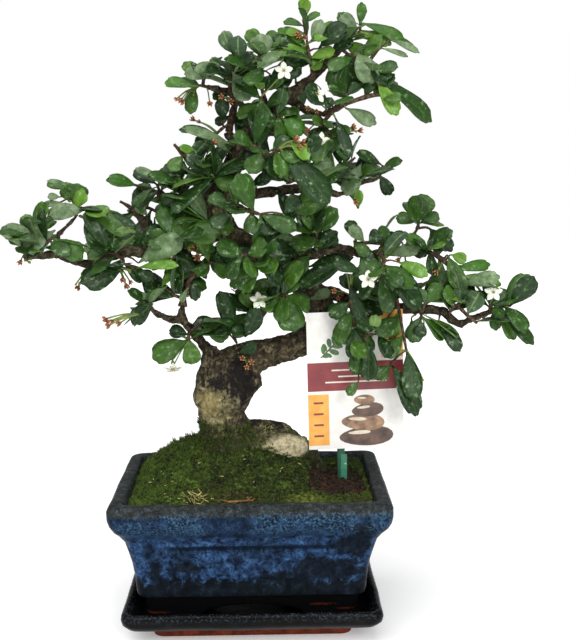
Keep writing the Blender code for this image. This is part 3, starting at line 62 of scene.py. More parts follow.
# Saucer. A slip-cast stoneware tray with a sloping wall and a rolled rim, dipped in black
# glaze that breaks into bluish specks on its edges. The foot below the wall is left as bare
# terracotta, and drips of glaze and stains mark the floor round the pot.
MM = 0.001
noise.seed_set(3)          # otherwise the clock would seed the vector noise
DEPTH_STEP = 21.0          # every ring is this much shallower than it is wide, each side
SAUCER_RINGS = [(60.5, 0.0, 7), (62.0, 4.5, 7), (68.6, 6.9, 7), (75.6, 10.2, 7), (78.0, 13.2, 7),
                (78.7, 16.6, 7), (78.2, 18.9, 6.7), (77.3, 19.8, 6.2), (76.2, 20.2, 5.6),
                (75.0, 19.9, 5), (73.6, 18.3, 4), (67.4, 10.8, 3.4), (65.4, 9.6, 3)]
CORNER_SHARE = 0.2         # part of each side's run that its corner takes


def linear(colour):
    """A colour of three steps from 0 to 255, as Blender's linear light."""
    shares = [step / 255 for step in colour]
    return (*(s / 12.92 if s <= 0.04045 else ((s + 0.055) / 1.055) ** 2.4 for s in shares), 1.0)


class Shade:
    """A value or a colour inside a finish; values are reckoned with as plain numbers are."""

    def __init__(self, finish, socket):
        self.finish = finish
        self.socket = socket

    def reckoned(self, operation, first, second=0.0):
        return self.finish.add("ShaderNodeMath", {0: first, 1: second}, operation=operation)

    def __add__(self, other):
        return self.reckoned("ADD", self, other)

    def __sub__(self, other):
        return self.reckoned("SUBTRACT", self, other)

    def __rsub__(self, other):
        return self.reckoned("SUBTRACT", other, self)

    def __mul__(self, other):
        return self.reckoned("MULTIPLY", self, other)

    def __or__(self, other):
        """The larger value: where either mark is."""
        return self.reckoned("MAXIMUM", self, other)

    def __abs__(self):
        return self.reckoned("ABSOLUTE", self)

    def sine(self):
        return self.reckoned("SINE", self)

    def level(self, low, high, to_low=0.0, to_high=1.0):
        """The value stretched from low..high, without overshoot."""
        inputs = {0: self, 1: low, 2: high, 3: to_low, 4: to_high}
        return self.finish.add("ShaderNodeMapRange", inputs, interpolation_type="SMOOTHSTEP")

    def steps(self, *stops):
        """The value turned into colours: stops are (position, (red, green, blue))."""
        ramp = self.finish.add("ShaderNodeValToRGB", {0: self})
        marks = ramp.socket.node.color_ramp.elements
        while len(marks) < len(stops):
            marks.new(0.5)
        for mark, (position, colour) in zip(marks, stops):
            mark.position = position
            mark.color = linear(colour)
        return ramp

    def blend(self, first, second):
        """The first colour where this share is 0, the second where it is 1."""
        colours = (linear(each) if isinstance(each, tuple) else each for each in (first, second))
        inputs = {0: self, **dict(zip((6, 7), colours))}
        return self.finish.add("ShaderNodeMix", inputs, output=2, data_type="RGBA")


class Finish:
    """A material being mixed, node by node."""

    def __init__(self, name, **settings):
        self.material = bpy.data.materials.new(name)
        self.material.use_nodes = True
        self.tree = self.material.node_tree
        self.shader = self.tree.nodes["Principled BSDF"]
        self.place = self.add("ShaderNodeTexCoord", output="Object")
        self.bump = None
        self.coat(**settings)

    def feed(self, node, inputs):
        for key, value in inputs.items():
            if isinstance(value, Shade):
                self.tree.links.new(value.socket, node.inputs[key])
            else:
                node.inputs[key].default_value = value

    def add(self, kind, inputs=None, output=0, **settings):
        node = self.tree.nodes.new(kind)
        for key, value in settings.items():
            setattr(node, key, value)
        self.feed(node, inputs or {})
        return Shade(self, node.outputs[output])

    def moved(self, centre=(0, 0, 0), stretch=(1, 1, 1)):
        """The place on the piece, measured from a centre in mm and stretched per axis."""
        shift = [-c * MM * s for c, s in zip(centre, stretch)]
        return self.add("ShaderNodeMapping", {"Vector": self.place, "Location": shift, "Scale": stretch})

    def grain(self, size, detail=3.0, rough=0.55, stretch=None, warp=0.0):
        """Noise with features about size mm across."""
        place = self.moved(stretch=stretch) if stretch else self.place
        return self.add("ShaderNodeTexNoise", {"Vector": place, "Scale": 1 / (size * MM), "Detail": detail,
                                               "Roughness": rough, "Distortion": warp})

    def cells(self, size):
        """Distance within rounded cells about size mm across."""
        return self.add("ShaderNodeTexVoronoi", {"Vector": self.place, "Scale": 1 / (size * MM)})

    def axis(self, letter):
        """One coordinate of the place, in metres."""
        return self.add("ShaderNodeSeparateXYZ", {0: self.place}, output=letter)

    def stored(self, name):
        """A value that the mesh keeps at its points."""
        return self.add("ShaderNodeAttribute", output="Fac", attribute_name=name)

    def blots(self, ragged, *spots):
        """1 inside ragged blots, 0 outside; a spot is (centre, size) in mm, ragged is a noise."""
        marks = None
        for centre, size in spots:
            place = self.moved(centre, [1 / (s * MM) for s in size])
            far = self.add("ShaderNodeVectorMath", {0: place}, output="Value", operation="DISTANCE")
            blot = (far + ragged).level(0.9, 1.5, 1.0, 0.0)
            marks = marks | blot if marks else blot
        return marks

    def relief(self, height, depth, strength=1.0):
        """Bump of a depth in mm, joined to any bump made before."""
        inputs = {"Height": height, "Distance": depth * MM, "Strength": strength}
        if self.bump:
            inputs["Normal"] = self.bump
        self.bump = self.add("ShaderNodeBump", inputs)
        self.coat(Normal=self.bump)

    def coat(self, **sockets):
        """Wire or set the shader's own sockets."""
        self.feed(self.shader, {key.replace("_", " "): value for key, value in sockets.items()})


def ring_turns(along, across, corner):
    """Stops round a rounded rectangle: whole numbers count its four sides."""
    turns = []
    for side in range(4):
        count = across if side % 2 else along
        turns += [side + (1 - CORNER_SHARE) * k / count for k in range(count)]
        turns += [side + 1 - CORNER_SHARE + CORNER_SHARE * k / corner for k in range(corner)]
    return turns


def on_ring(turn, half_width, corner, z):
    """The point of a rounded rectangle's ring at one stop."""
    side, share = int(turn), turn % 1
    ahead = Vector((math.cos(side * math.pi / 2), math.sin(side * math.pi / 2), 0))
    outward = Vector((ahead.y, -ahead.x, 0))
    half_depth = half_width - DEPTH_STEP
    reach, out = (half_depth, half_width) if side % 2 else (half_width, half_depth)
    straight = 1 - CORNER_SHARE
    if share < straight:
        return ahead * (reach - corner) * (2 * share / straight - 1) + outward * out + Vector((0, 0, z))
    swing = (share - straight) / CORNER_SHARE * math.pi / 2
    bend = outward * math.cos(swing) + ahead * math.sin(swing)
    return ahead * (reach - corner) + outward * (out - corner) + bend * corner + Vector((0, 0, z))


def points_of(made):
    """The points among what an operator has made."""
    return [item for item in made["geom"] if isinstance(item, bmesh.types.BMVert)]


def drawn_on(work, rim):
    """Extrude an open rim once: its new edges and its new points."""
    made = bmesh.ops.extrude_edge_only(work, edges=rim)
    edges = [item for item in made["geom"] if isinstance(item, bmesh.types.BMEdge)]
    return [edge for edge in edges if len(edge.link_faces) == 1], points_of(made)


def thrown(rings, turns, shift):
    """A closed shell drawn up through rings of (half width, height, corner), in mm."""
    work = bmesh.new()
    stop = work.verts.layers.float.new("stop")
    points = bmesh.ops.create_circle(work, segments=len(turns), radius=1)["verts"]
    for vert, turn in zip(points, turns):
        vert[stop] = turn
    rim = work.edges[:]
    for k, (half_width, z, corner) in enumerate(rings):
        if k == 1:
            bmesh.ops.contextual_create(work, geom=rim)
        if k:
            rim, points = drawn_on(work, rim)
        for vert in points:
            place = on_ring(vert[stop], half_width, corner, z)
            vert.co = place + shift(place, vert[stop], k)
    bmesh.ops.contextual_create(work, geom=rim)
    bmesh.ops.recalc_face_normals(work, faces=work.faces)
    return work


def body_of(name, work):
    """An object in the scene from finished mesh work."""
    mesh = bpy.data.meshes.new(name)
    work.to_mesh(mesh)
    work.free()
    body = bpy.data.objects.new(name, mesh)
    bpy.context.scene.collection.objects.link(body)
    return body


def piece(name, work, finishes, replaced=(), smooth=True):
    """Turn finished mesh work in mm into a shown piece with its finishes."""
    bmesh.ops.scale(work, vec=(MM, MM, MM), verts=work.verts)
    for face in work.faces:
        face.smooth = smooth
    shown = body_of(name, work)
    for finish in finishes:
        shown.data.materials.append(finish.material)
    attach(shown, "root")
    if replaced:
        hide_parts(*replaced)


def finer(rings, step):
    """More rings between the given ones, about step mm apart."""
    out = [rings[0]]
    for a, b in zip(rings, rings[1:]):
        count = max(int(math.hypot(b[0] - a[0], b[1] - a[1]) / step + 0.5), 1)
        out += [tuple(p + (q - p) * k / count for p, q in zip(a, b)) for k in range(1, count + 1)]
    return out


def waves(place, amount):
    """The small waves that hand-finished clay keeps, as a shift of a point."""
    return noise.noise_vector(place / 26) * amount + noise.noise_vector(place / 7) * amount * 0.25


def saucer_shift(place, turn, ring):
    """Waves above the foot only, so that the saucer stands flat."""
    return waves(place, 0.5) * min(max((place.z - 1) / 6, 0), 1)


saucer_glaze = Finish("saucer_glaze", Specular_IOR_Level=0.08)
speck = saucer_glaze.grain(1.3, 2)
cloud = saucer_glaze.grain(14, 4)
height = saucer_glaze.axis("Z")
glaze = cloud.steps((0.3, (6, 6, 7)), (0.55, (13, 13, 14)), (0.75, (26, 26, 28)))
edge = height.level(0.0145, 0.0185) * speck.level(0.5, 0.68)
glaze = (edge * 0.38).blend(glaze, (74, 88, 98))
stain = saucer_glaze.blots(saucer_glaze.grain(9, 4), ((-50, -48, 11), (17, 6, 6)),
                           ((44, -47, 11), (17, 6, 6)))
glaze = (stain * 0.8).blend(glaze, (96, 38, 16))
clay = saucer_glaze.grain(5, 5).steps((0.3, (78, 34, 24)), (0.7, (132, 62, 42)))
foot = (height + cloud * 0.004).level(0.0062, 0.0068, 1.0, 0.0)
saucer_glaze.coat(Base_Color=foot.blend(glaze, clay), Roughness=foot.level(0, 1, 0.24, 0.85))
saucer_glaze.relief(saucer_glaze.grain(4, 4), 0.12, 0.6)
saucer_work = thrown(finer(SAUCER_RINGS, 1.6), ring_turns(80, 60, 8), saucer_shift)
piece("saucer_tray", saucer_work, [saucer_glaze], replaced=["saucer"])


# Pot. Slip-cast stoneware, thrown wide at the lip, with a framed panel pressed into each wall
# and arches cut between the feet. A cobalt glaze over a black one ran down as it melted: black
# on the lip and feet, pale flecks below the lip, mottled blue on the walls. Painted sheen greys
# the lip, and painted shade darkens the top of the panel's groove and the feet under the body.
FOOT_BASE = 9.9
POT_BOTTOM = 27.7
POT_OUTSIDE = [(68.4, POT_BOTTOM), (69.2, 31.0), (70.0, 41.0), (71.4, 49.0), (73.4, 57.0),
               (75.4, 64.0), (78.2, 68.0), (81.4, 71.6), (83.3, 75.2), (84.2, 79.0),
               (84.3, 84.6), (83.0, 87.4), (82.2, 88.1), (81.2, 88.4)]
POT_INSIDE = [(77.4, 88.4), (76.3, 88.1), (75.0, 87.0), (74.0, 80.0), (68.0, 68.0), (65.6, 58.0),
              (62.0, 36.0), (59.0, 33.0)]
POT_CORNER = 8.0
POT_INNER_CORNER = 4.0
POT_REACH = 84.25          # half width that no wave of the wall goes past
PANEL = {0: 51.5, 1: 31.0, 2: 51.5, 3: 31.0}     # half length on each side of the pot
PANEL_LOW, PANEL_HIGH = 36.5, 62.0
GROOVE_WIDTH, GROOVE_DEPTH = 3.6, 0.95
FOOT_OUTER, FOOT_THICK = 64.0, 7.0
ARCH = {0: 36.0, 1: 18.0, 2: 36.0, 3: 18.0}
ARCH_HEIGHT = 11.5
DRAIN_X, DRAIN_RADIUS = 32.0, 7.0
DRILL_LOW, DRILL_HIGH = 20.0, 40.0


def panel_sink(place, turn):
    """How deep the panel's frame line lies at a place on the wall."""
    side = int(turn)
    if turn % 1 > 1 - CORNER_SHARE:
        return 0.0
    along = abs(place.y if side % 2 else place.x)
    middle = GROOVE_WIDTH / 2
    across = max(along - PANEL[side], PANEL_LOW - place.z, place.z - PANEL_HIGH) + middle
    return GROOVE_DEPTH * max(0.0, 1 - (abs(across) / middle) ** 3)


def pot_shift(place, turn, ring):
    """The wall's hand-shaped waves and the panel's frame line."""
    move = waves(place, 0.55)
    if ring <= outside_rings:
        inward = Vector((-place.x, 0, 0)) if int(turn) % 2 else Vector((0, -place.y, 0))
        move += inward.normalized() * panel_sink(place, turn)
    spot = place + move
    move.x -= math.copysign(max(abs(spot.x) - POT_REACH, 0), spot.x)
    move.y -= math.copysign(max(abs(spot.y) - POT_REACH + DEPTH_STEP, 0), spot.y)
    return move * (0.0 if place.z <= POT_BOTTOM + 0.1 else 1.0)


outer = finer([(half, z, POT_CORNER) for half, z in POT_OUTSIDE], 0.9)
inner = finer([(half, z, POT_INNER_CORNER) for half, z in POT_INSIDE], 3)
outside_rings = len(outer)
foot_rings = finer([(FOOT_OUTER + 0.6, POT_BOTTOM + 2, 6), (FOOT_OUTER, FOOT_BASE + 0.8, 6),
                    (FOOT_OUTER - 0.8, FOOT_BASE, 5.5), (FOOT_OUTER - FOOT_THICK, FOOT_BASE, 3),
                    (FOOT_OUTER - FOOT_THICK, POT_BOTTOM + 0.5, 3)], 2)


def foot_shift(place, turn, ring):
    """The arches between the feet, lifted out of the foot's lower part."""
    side = int(turn)
    if turn % 1 > 1 - CORNER_SHARE:
        return Vector()
    share = min(abs(place.y if side % 2 else place.x) / (ARCH[side] * 0.92), 1.0)
    crown = FOOT_BASE + ARCH_HEIGHT * (1 - share ** 2) ** 0.3
    return Vector((0, 0, max(crown - place.z, 0)))


def rod(work, sides, foot, head, length, matrix):
    """A closed rod or cone round its own upright, by the radii of its foot and head."""
    return bmesh.ops.create_cone(work, cap_ends=True, segments=sides, radius1=foot, radius2=head,
                                 depth=length, matrix=matrix)["verts"]


def drilled(work):
    """Cut the two upright drain holes through a body."""
    body = body_of("drilled", work)
    drills = []
    for x in (-DRAIN_X, DRAIN_X):
        drill_work = bmesh.new()
        rod(drill_work, 40, DRAIN_RADIUS, DRAIN_RADIUS, DRILL_HIGH - DRILL_LOW,
            Matrix.Translation((x, 0, (DRILL_LOW + DRILL_HIGH) / 2)))
        drill = body_of("drill", drill_work)
        modifier = body.modifiers.new("drill", "BOOLEAN")
        modifier.object = drill
        modifier.operation = "DIFFERENCE"
        modifier.solver = "EXACT"
        drills.append(drill)
    graph = bpy.context.evaluated_depsgraph_get()
    graph.update()
    out = bmesh.new()
    out.from_mesh(body.evaluated_get(graph).to_mesh())
    for spent in (body, *drills):
        bpy.data.objects.remove(spent)
    return out


def join(whole, part):
    """Add finished mesh work to a larger one."""
    mesh = bpy.data.meshes.new("part")
    part.to_mesh(mesh)
    part.free()
    whole.from_mesh(mesh)
    bpy.data.meshes.remove(mesh)


pot_work = drilled(thrown(outer + inner, ring_turns(118, 86, 10), pot_shift))
join(pot_work, drilled(thrown(foot_rings, ring_turns(118, 86, 8), foot_shift)))

pot_glaze = Finish("pot_glaze", Specular_IOR_Level=0.02)
height = pot_glaze.axis("Z")
wide = pot_glaze.grain(30, 3, stretch=(1, 1, 0.8), warp=0.6)
mottle = pot_glaze.grain(5.5, 6, 0.7, stretch=(1, 1, 0.9), warp=0.5)
fine = pot_glaze.grain(1.3, 3, 0.65)
runs = pot_glaze.grain(3.0, 3, 0.6, stretch=(1, 1, 0.3))
blue = mottle.steps((0.32, (12, 17, 26)), (0.42, (23, 37, 58)), (0.53, (42, 67, 101)),
                    (0.66, (66, 101, 144)))
blue = runs.level(0.52, 0.7, 0, 0.8).blend(blue, (20, 32, 58))
blue = fine.level(0.53, 0.66, 0, 0.8).blend(blue, (9, 13, 22))
ragged = (pot_glaze.grain(8, 6, 0.7, warp=0.4) - 0.42) * 2.6
black = pot_glaze.blots(
    ragged, ((-57, -50, 44), (4, 20, 12)), ((-38, -50, 47), (10, 20, 4)), ((20, -50, 40), (22, 20, 5)),
    ((46, -50, 45), (24, 20, 8)), ((60, -50, 62), (12, 22, 9)), ((66, -50, 74), (14, 22, 5)),
    ((20, 52, 50), (26, 20, 10)), ((-40, 52, 42), (18, 20, 8)), ((-70, 10, 46), (20, 18, 8)),
    ((70, -12, 44), (20, 24, 10)))
uneven = (mottle - 0.5) * 0.022
low_band = (height + uneven).level(0.037, 0.0425, 1.0, 0.0)
lip_band = (height + uneven * 0.35).level(0.0812, 0.0838)
deep = mottle.steps((0.35, (10, 14, 18)), (0.55, (18, 24, 30)), (0.7, (32, 44, 60)))
dark = black * 0.94 | low_band | wide.level(0.55, 0.68, 0, 0.5)
blue = height.level(0.064, 0.073, 0.0, 0.5).blend(blue, (14, 22, 33))
colour = dark.blend(blue, deep)
# Painted shade: a dark line along the top edge of the panel's groove, where the groove is shaded.
off_line = abs(height - (PANEL_HIGH - GROOVE_WIDTH / 2) * MM)
inside_panel = abs(pot_glaze.axis("X")).level(0.048, 0.052, 1, 0)
line = off_line.level(0.0006, 0.002, 0.8, 0.0) * inside_panel
colour = line.blend(colour, (10, 14, 20))
below_lip = height.level(0.066, 0.0765) * height.level(0.0835, 0.0855, 1.0, 0.0)
flecks = pot_glaze.grain(1.3, 5, 0.7).level(0.46, 0.66) * below_lip
flecks = flecks * wide.level(0.34, 0.54)
# The lip's black glaze, greyed and flecked pale as painted sheen along the rim's top.
lip = pot_glaze.grain(4, 5, 0.6).steps((0.35, (31, 32, 31)), (0.55, (47, 51, 51)), (0.75, (78, 86, 90)))
lip = pot_glaze.grain(0.9, 2).level(0.58, 0.68, 0, 0.28).blend(lip, (116, 128, 136))
colour = height.level(0.064, 0.07, 0, 0.25).blend(colour, (16, 22, 32))
colour = lip_band.blend(colour, lip)
colour = (flecks * 0.6).blend(colour, (82, 122, 152))
# Near black below the body: the feet's black glaze, deepened as painted shade under the pot.
under = height.level(0.0279, 0.0292, 0.93, 0.0)
colour = under.blend(colour, (10, 10, 11))
bare = pot_glaze.blots(fine * 1.4, ((-60, -43, 17), (16, 8, 1.2)), ((42, -43, 21), (13, 8, 1.3)),
                       ((56, -43, 18), (8, 8, 1)))
colour = (bare * 0.6).blend(colour, (88, 36, 16))
pot_glaze.coat(Base_Color=colour, Roughness=mottle.level(0.3, 0.7, 0.42, 0.24))
pot_glaze.relief(mottle, 0.25, 0.6)
pot_glaze.relief(fine, 0.08, 0.5)
piece("pot_body", pot_work, [pot_glaze], replaced=["pot"])


# Drain mesh. Black polythene netting laid over the two drain holes before the soil goes in,
# so that water runs out and soil stays.
def plain(name, size, dark, light, detail=3.0, **settings):
    """A finish with one grain, size mm across, between two colours."""
    finish = Finish(name, **settings)
    finish.coat(Base_Color=finish.grain(size, detail).steps((0.3, dark), (0.7, light)))
    return finish


mesh_plastic = plain("mesh_plastic", 3, (14, 14, 15), (34, 34, 36), Roughness=0.55)
mesh_plastic.relief(mesh_plastic.grain(0.8), 0.05)
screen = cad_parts["drain_screen"]
screen.data.materials.clear()
screen.data.materials.append(mesh_plastic.material)


# Soil. A dark peat and clay mix heaped round the roots, bare only about the label's stick,
# where crumbs, grit and a few red baked pieces lie loose on it.
def ground(x, y):
    """Height of the moss over the mound, as the solids have it."""
    height = 85.2 + 30 * math.exp(-((x + 14) / 38) ** 2 - ((y - 2) / 34) ** 2)
    height += 12.5 * math.exp(-((x + 47) / 26) ** 2 - ((y - 28) / 24) ** 2)
    height += 13 * math.exp(-((x - 20) / 20) ** 2 - ((y + 4) / 16) ** 2)
    height += 3 * math.exp(-((x - 62) / 16) ** 2 - ((y - 34) / 16) ** 2)
    height += 5 * math.exp(-((x - 56) / 15) ** 2 - ((y + 6) / 16) ** 2)
    fall = min(max(min(75 - abs(x), 54 - abs(y)) / 9, 0), 1)
    bumps = 1.1 * noise.noise(Vector((x, y, 0)) * 0.09) + 0.7 * noise.noise(Vector((x, y, 9)) * 0.21)
    return 83.7 + (height - 83.7) * fall + bumps


def mound(edge_half, corner, turns, lift, skirt, step=1.4):
    """A closed heap in the pot: rings drawn in from its edge, then skirt rings down below."""
    inward = []
    half = edge_half
    while half - DEPTH_STEP > 1.5:
        inward.append((half, 0.0, max(min(corner, half - DEPTH_STEP - 0.5), 0.6)))
        half -= step
    rings = skirt + inward

    def settle(place, turn, ring):
        if ring < len(skirt):
            return Vector()
        return Vector((0, 0, lift(place.x, place.y)))
    return thrown(rings, turns, settle)


BARE_PATCH = [(34, -26), (50, -34), (66, -31), (73, -14), (72, 16), (60, 30), (44, 26), (38, 8)]
SOIL_DEPTH = 3.5           # soil lies this far below the moss


def into_patch(x, y):
    """How far inside the bare patch's outline a place is, in mm, negative outside."""
    inside = False
    nearest = 99.0
    place = Vector((x, y))
    for a, b in zip(BARE_PATCH, BARE_PATCH[1:] + BARE_PATCH[:1]):
        run = Vector(b) - Vector(a)
        along = min(max((place - Vector(a)).dot(run) / run.length_squared, 0), 1)
        nearest = min(nearest, (place - Vector(a) - run * along).length)
        if (a[1] > y) != (b[1] > y) and x < (b[0] - a[0]) * (y - a[1]) / (b[1] - a[1]) + a[0]:
            inside = not inside
    return nearest if inside else -nearest


def soil_top(x, y):
    lumps = 0.9 * noise.noise(Vector((x, y, 3)) * 0.22) + 0.45 * noise.noise(Vector((x, y, 5)) * 0.7)
    return ground(x, y) - SOIL_DEPTH + 0.6 + lumps


potting_soil = Finish("potting_soil", Roughness=0.95, Specular_IOR_Level=0.2)
crumb = potting_soil.grain(2.2, 5, 0.7)
earth = crumb.steps((0.3, (17, 13, 10)), (0.5, (40, 30, 22)), (0.68, (74, 56, 43)))
red = potting_soil.grain(4.5, 2).level(0.6, 0.66)
earth = (red * 0.4).blend(earth, (104, 52, 36))
potting_soil.coat(Base_Color=earth)
potting_soil.relief(crumb, 0.8)
soil_work = mound(73.9, 3.7, ring_turns(60, 46, 4), soil_top,
                  [(58.6, 34.9, 3), (61.7, 36.0, 3), (65.2, 58.0, 3), (67.6, 68.0, 3), (73.2, 80.0, 3)])
GRIT_TRIES = 420
grit = random.Random("grit")
for _ in range(GRIT_TRIES):
    x, y = grit.uniform(34, 73), grit.uniform(-34, 30)
    if into_patch(x, y) < 1.5:
        continue
    size = grit.choice((0.5, 0.7, 0.9, 1.3, 1.8))
    turned = Matrix.Rotation(grit.uniform(0, 6.28), 4, Vector((grit.random(), grit.random(), 1)))
    shape = Matrix.Diagonal((size, size * grit.uniform(0.6, 1), size * grit.uniform(0.5, 0.9), 1))
    place = Matrix.Translation((x, y, soil_top(x, y) + size * 0.25))
    bmesh.ops.create_icosphere(soil_work, subdivisions=1, radius=1, matrix=place @ turned @ shape)
piece("potting_soil", soil_work, [potting_soil], replaced=["soil"])


# Moss. A living carpet of small cushion moss pressed over the mound, bright on the left slope
# and dull where it is dry, with taller sprouts standing up from it. A tuft of dry straw and a
# fallen twig lie at the front.


def moss_top(x, y):
    """The carpet's surface, sunk below the soil where the patch is bare."""
    edge = into_patch(x, y) + 2.2 * noise.noise(Vector((x, y, 1)) * 0.25)
    drop = min(max(edge / 2.5, 0), 1) * (SOIL_DEPTH + 1.5)
    cushions = 1.1 * (0.45 - noise.voronoi(Vector((x, y, 0)) / 5.5)[0][0])
    return ground(x, y) + cushions + 0.35 * noise.noise(Vector((x, y, 4)) * 0.9) - drop


def leaning(chance, low, high, spread=1.0):
    """Any turn about the upright, then a lean between two angles."""
    turn = Matrix.Rotation(chance.uniform(0, 6.28), 4, "Z")
    return turn @ Matrix.Rotation(chance.uniform(low, high) * spread, 4, "Y")


def lifted(height):
    """A move straight up."""
    return Matrix.Translation((0, 0, height))


def seated_at(place, run):
    """The placing of a small shape that stands at a place and points along a run."""
    return Matrix.Translation(place) @ run.to_track_quat("Z", "Y").to_matrix().to_4x4()


def tuft(leaflets, length, spread, chance):
    """A pinch of moss: thin leaflets leaning out from one foot, tips marked 1."""
    work = bmesh.new()
    tip = work.verts.layers.float.new("tip")
    for _ in range(leaflets):
        lean = leaning(chance, 0.15, 0.85, spread)
        reach = length * chance.uniform(0.6, 1.1)
        made = bmesh.ops.create_cone(work, segments=3, radius1=0.34, radius2=0, depth=reach,
                                     matrix=lean @ lifted(reach / 2))
        max(made["verts"], key=lambda vert: vert.co.length)[tip] = 1.0
    mesh = bpy.data.meshes.new("tuft")
    work.to_mesh(mesh)
    work.free()
    return mesh


def scatter(work, mesh, matrices):
    """Copies of a small mesh, each with its own placing."""
    for matrix in matrices:
        copy = mesh.copy()
        copy.transform(matrix)
        work.from_mesh(copy)
        bpy.data.meshes.remove(copy)


moss = Finish("moss", Roughness=0.9, Specular_IOR_Level=0.15)
wide = moss.grain(24, 3)
small = moss.grain(2.4, 4, 0.65)
clumps = moss.grain(8, 4, 0.6)
green = wide.steps((0.32, (42, 50, 22)), (0.5, (62, 78, 30)), (0.66, (92, 114, 40)))
left = (moss.axis("X") + wide * 0.03).level(-0.045, 0.0, 0.6, 0.0)
green = left.blend(green, (82, 112, 36))
# Painted shade: near black between the moss's clumps.
green = clumps.level(0.38, 0.54, 0.9, 0.0).blend(green, (20, 24, 10))
dry = moss.blots(clumps, ((-14, -46, 88), (34, 14, 8)), ((62, -44, 86), (14, 10, 8)))
green = (dry * 0.6).blend(green, (62, 54, 30))
pale = moss.blots(clumps * 0.8, ((36, -43, 88), (17, 9, 7))) | moss.blots(small, ((68, 0, 88), (6, 22, 9)))
green = (pale * 0.7).blend(green, (134, 146, 62))
foot_shade = moss.blots(clumps * 0.8, ((-10, -26, 116), (30, 20, 10)))
green = (foot_shade * 0.5).blend(green, (34, 34, 20))
# Painted shade between the fine fronds.
green = small.level(0.42, 0.64, 0.85, 0.0).blend(green, (17, 21, 9))
# Painted highlights: pale specks on the fronds.
green = small.level(0.6, 0.7, 0.0, 0.5).blend(green, (146, 154, 90))
green = (moss.stored("tip") * 0.4).blend(green, (116, 140, 62))
moss.coat(Base_Color=green)
moss.relief(small, 0.9)
moss_work = mound(74.2, 3.6, ring_turns(96, 72, 5), moss_top, [(66.0, 64.6, 3), (73.4, 80.0, 3)], 1.3)
moss_work.verts.layers.float.new("tip")
growth = random.Random("moss")
tufts = [tuft(5, 2.0, 1.0, growth) for _ in range(4)] + [tuft(4, 2.8, 0.8, growth) for _ in range(2)]
wood_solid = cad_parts["wood"].data
trunk_tree = BVHTree.FromPolygons([vert.co / MM for vert in wood_solid.vertices],
                                  [face.vertices for face in wood_solid.polygons])
TUFT_TRIES = 7200
seats = [[] for _ in tufts]
for _ in range(TUFT_TRIES):
    x, y = growth.uniform(-73, 73), growth.uniform(-52, 52)
    if into_patch(x, y) > growth.uniform(-1, 1.5) or max(abs(x) - 73.2, abs(y) - 52.2) > 0:
        continue
    z = moss_top(x, y)
    spot = Vector((x, y, z + 0.5))
    near = trunk_tree.find_nearest(spot)
    if (spot - near[0]).dot(near[1]) < 0.3:
        continue
    slope = Vector((ground(x - 1, y) - ground(x + 1, y), ground(x, y - 1) - ground(x, y + 1), 2.5))
    spin = Matrix.Rotation(growth.uniform(0, 6.28), 4, "Z")
    seat = seated_at((x, y, z - 0.5), slope) @ spin @ Matrix.Scale(growth.uniform(0.6, 1.15), 4)
    seats[growth.randrange(len(tufts))].append(seat)
for mesh, places in zip(tufts, seats):
    scatter(moss_work, mesh, places)

MOSS_LINE = [(-46, 122), (-30, 127), (-17, 126), (-3, 123), (5, 118), (10, 113), (18, 108), (36, 104)]
CLIMBING_TRIES = 17000     # for tufts that have climbed on to the tree's foot


def moss_line(x):
    """How high the moss has climbed on the wood."""
    for (x0, z0), (x1, z1) in zip(MOSS_LINE, MOSS_LINE[1:]):
        if x0 <= x <= x1:
            return z0 + (z1 - z0) * (x - x0) / (x1 - x0)
    return 0.0


climbers = [[] for _ in tufts]
for _ in range(CLIMBING_TRIES):
    spot = Vector((growth.uniform(-46, 36), growth.uniform(-36, 20), growth.uniform(92, 128)))
    seat, outward, _, far = trunk_tree.find_nearest(spot)
    edge = moss_line(seat.x) + 3.5 * noise.noise(seat * 0.3) - 0.15 * max(seat.y + 5, 0)
    if far > 3.5 or outward.z < -0.3 or not moss_top(seat.x, seat.y) - 1 < seat.z < edge:
        continue
    spin = Matrix.Rotation(growth.uniform(0, 6.28), 4, "Z") @ Matrix.Scale(growth.uniform(0.6, 1.1), 4)
    seat = seated_at(seat + outward * 0.5, outward + Vector((0, 0, 0.7))) @ spin
    climbers[growth.randrange(len(tufts))].append(seat)
for mesh, places in zip(tufts, climbers):
    scatter(moss_work, mesh, places)

SPROUT_TRIES = 150         # for tall sprouts, most of them up the left slope
for _ in range(SPROUT_TRIES):
    x, y = growth.triangular(-72, 30, -50), growth.uniform(-30, 44)
    z = moss_top(x, y)
    if trunk_tree.find_nearest(Vector((x, y, z)))[3] < 2.5 or into_patch(x, y) > -1:
        continue
    sprout = tuft(6, growth.uniform(3.6, 5.8), 0.5, growth)
    scatter(moss_work, sprout, [Matrix.Translation((x, y, z - 0.5))])
    bpy.data.meshes.remove(sprout)
piece("moss_carpet", moss_work, [moss], replaced=["moss"])

straw = Finish("dry_straw", Roughness=0.8)
straw.coat(Base_Color=straw.grain(2.5).steps((0.3, (150, 130, 72)), (0.6, (206, 192, 124)),
                                             (0.8, (232, 224, 170))))
straw_work = bmesh.new()
STRAWS, STRAW_X, STRAW_Y = 26, -31, -46
for _ in range(STRAWS):
    x, y = STRAW_X + growth.gauss(0, 3.4), STRAW_Y + growth.gauss(0, 2.4)
    lean = leaning(growth, 0.5, 1.45)
    reach = growth.uniform(3, 8)
    seat = Matrix.Translation((x, y, moss_top(x, y) + 0.6)) @ lean @ lifted(reach / 2)
    rod(straw_work, 4, 0.34, 0.14, reach, seat @ Matrix.Diagonal((1.0, 0.5, 1.0, 1)))
LITTER = 24                # short pale bits lying loose on the moss
for _ in range(LITTER):
    x, y = growth.uniform(-66, 34), growth.uniform(-49, -6)
    seat = Matrix.Translation((x, y, moss_top(x, y) + 1.7)) @ leaning(growth, 1.1, 1.6)
    if trunk_tree.find_nearest(seat.translation)[3] > 3:
        rod(straw_work, 4, 0.3, 0.2, growth.uniform(0.8, 3.2), seat)
piece("dry_straw", straw_work, [straw])

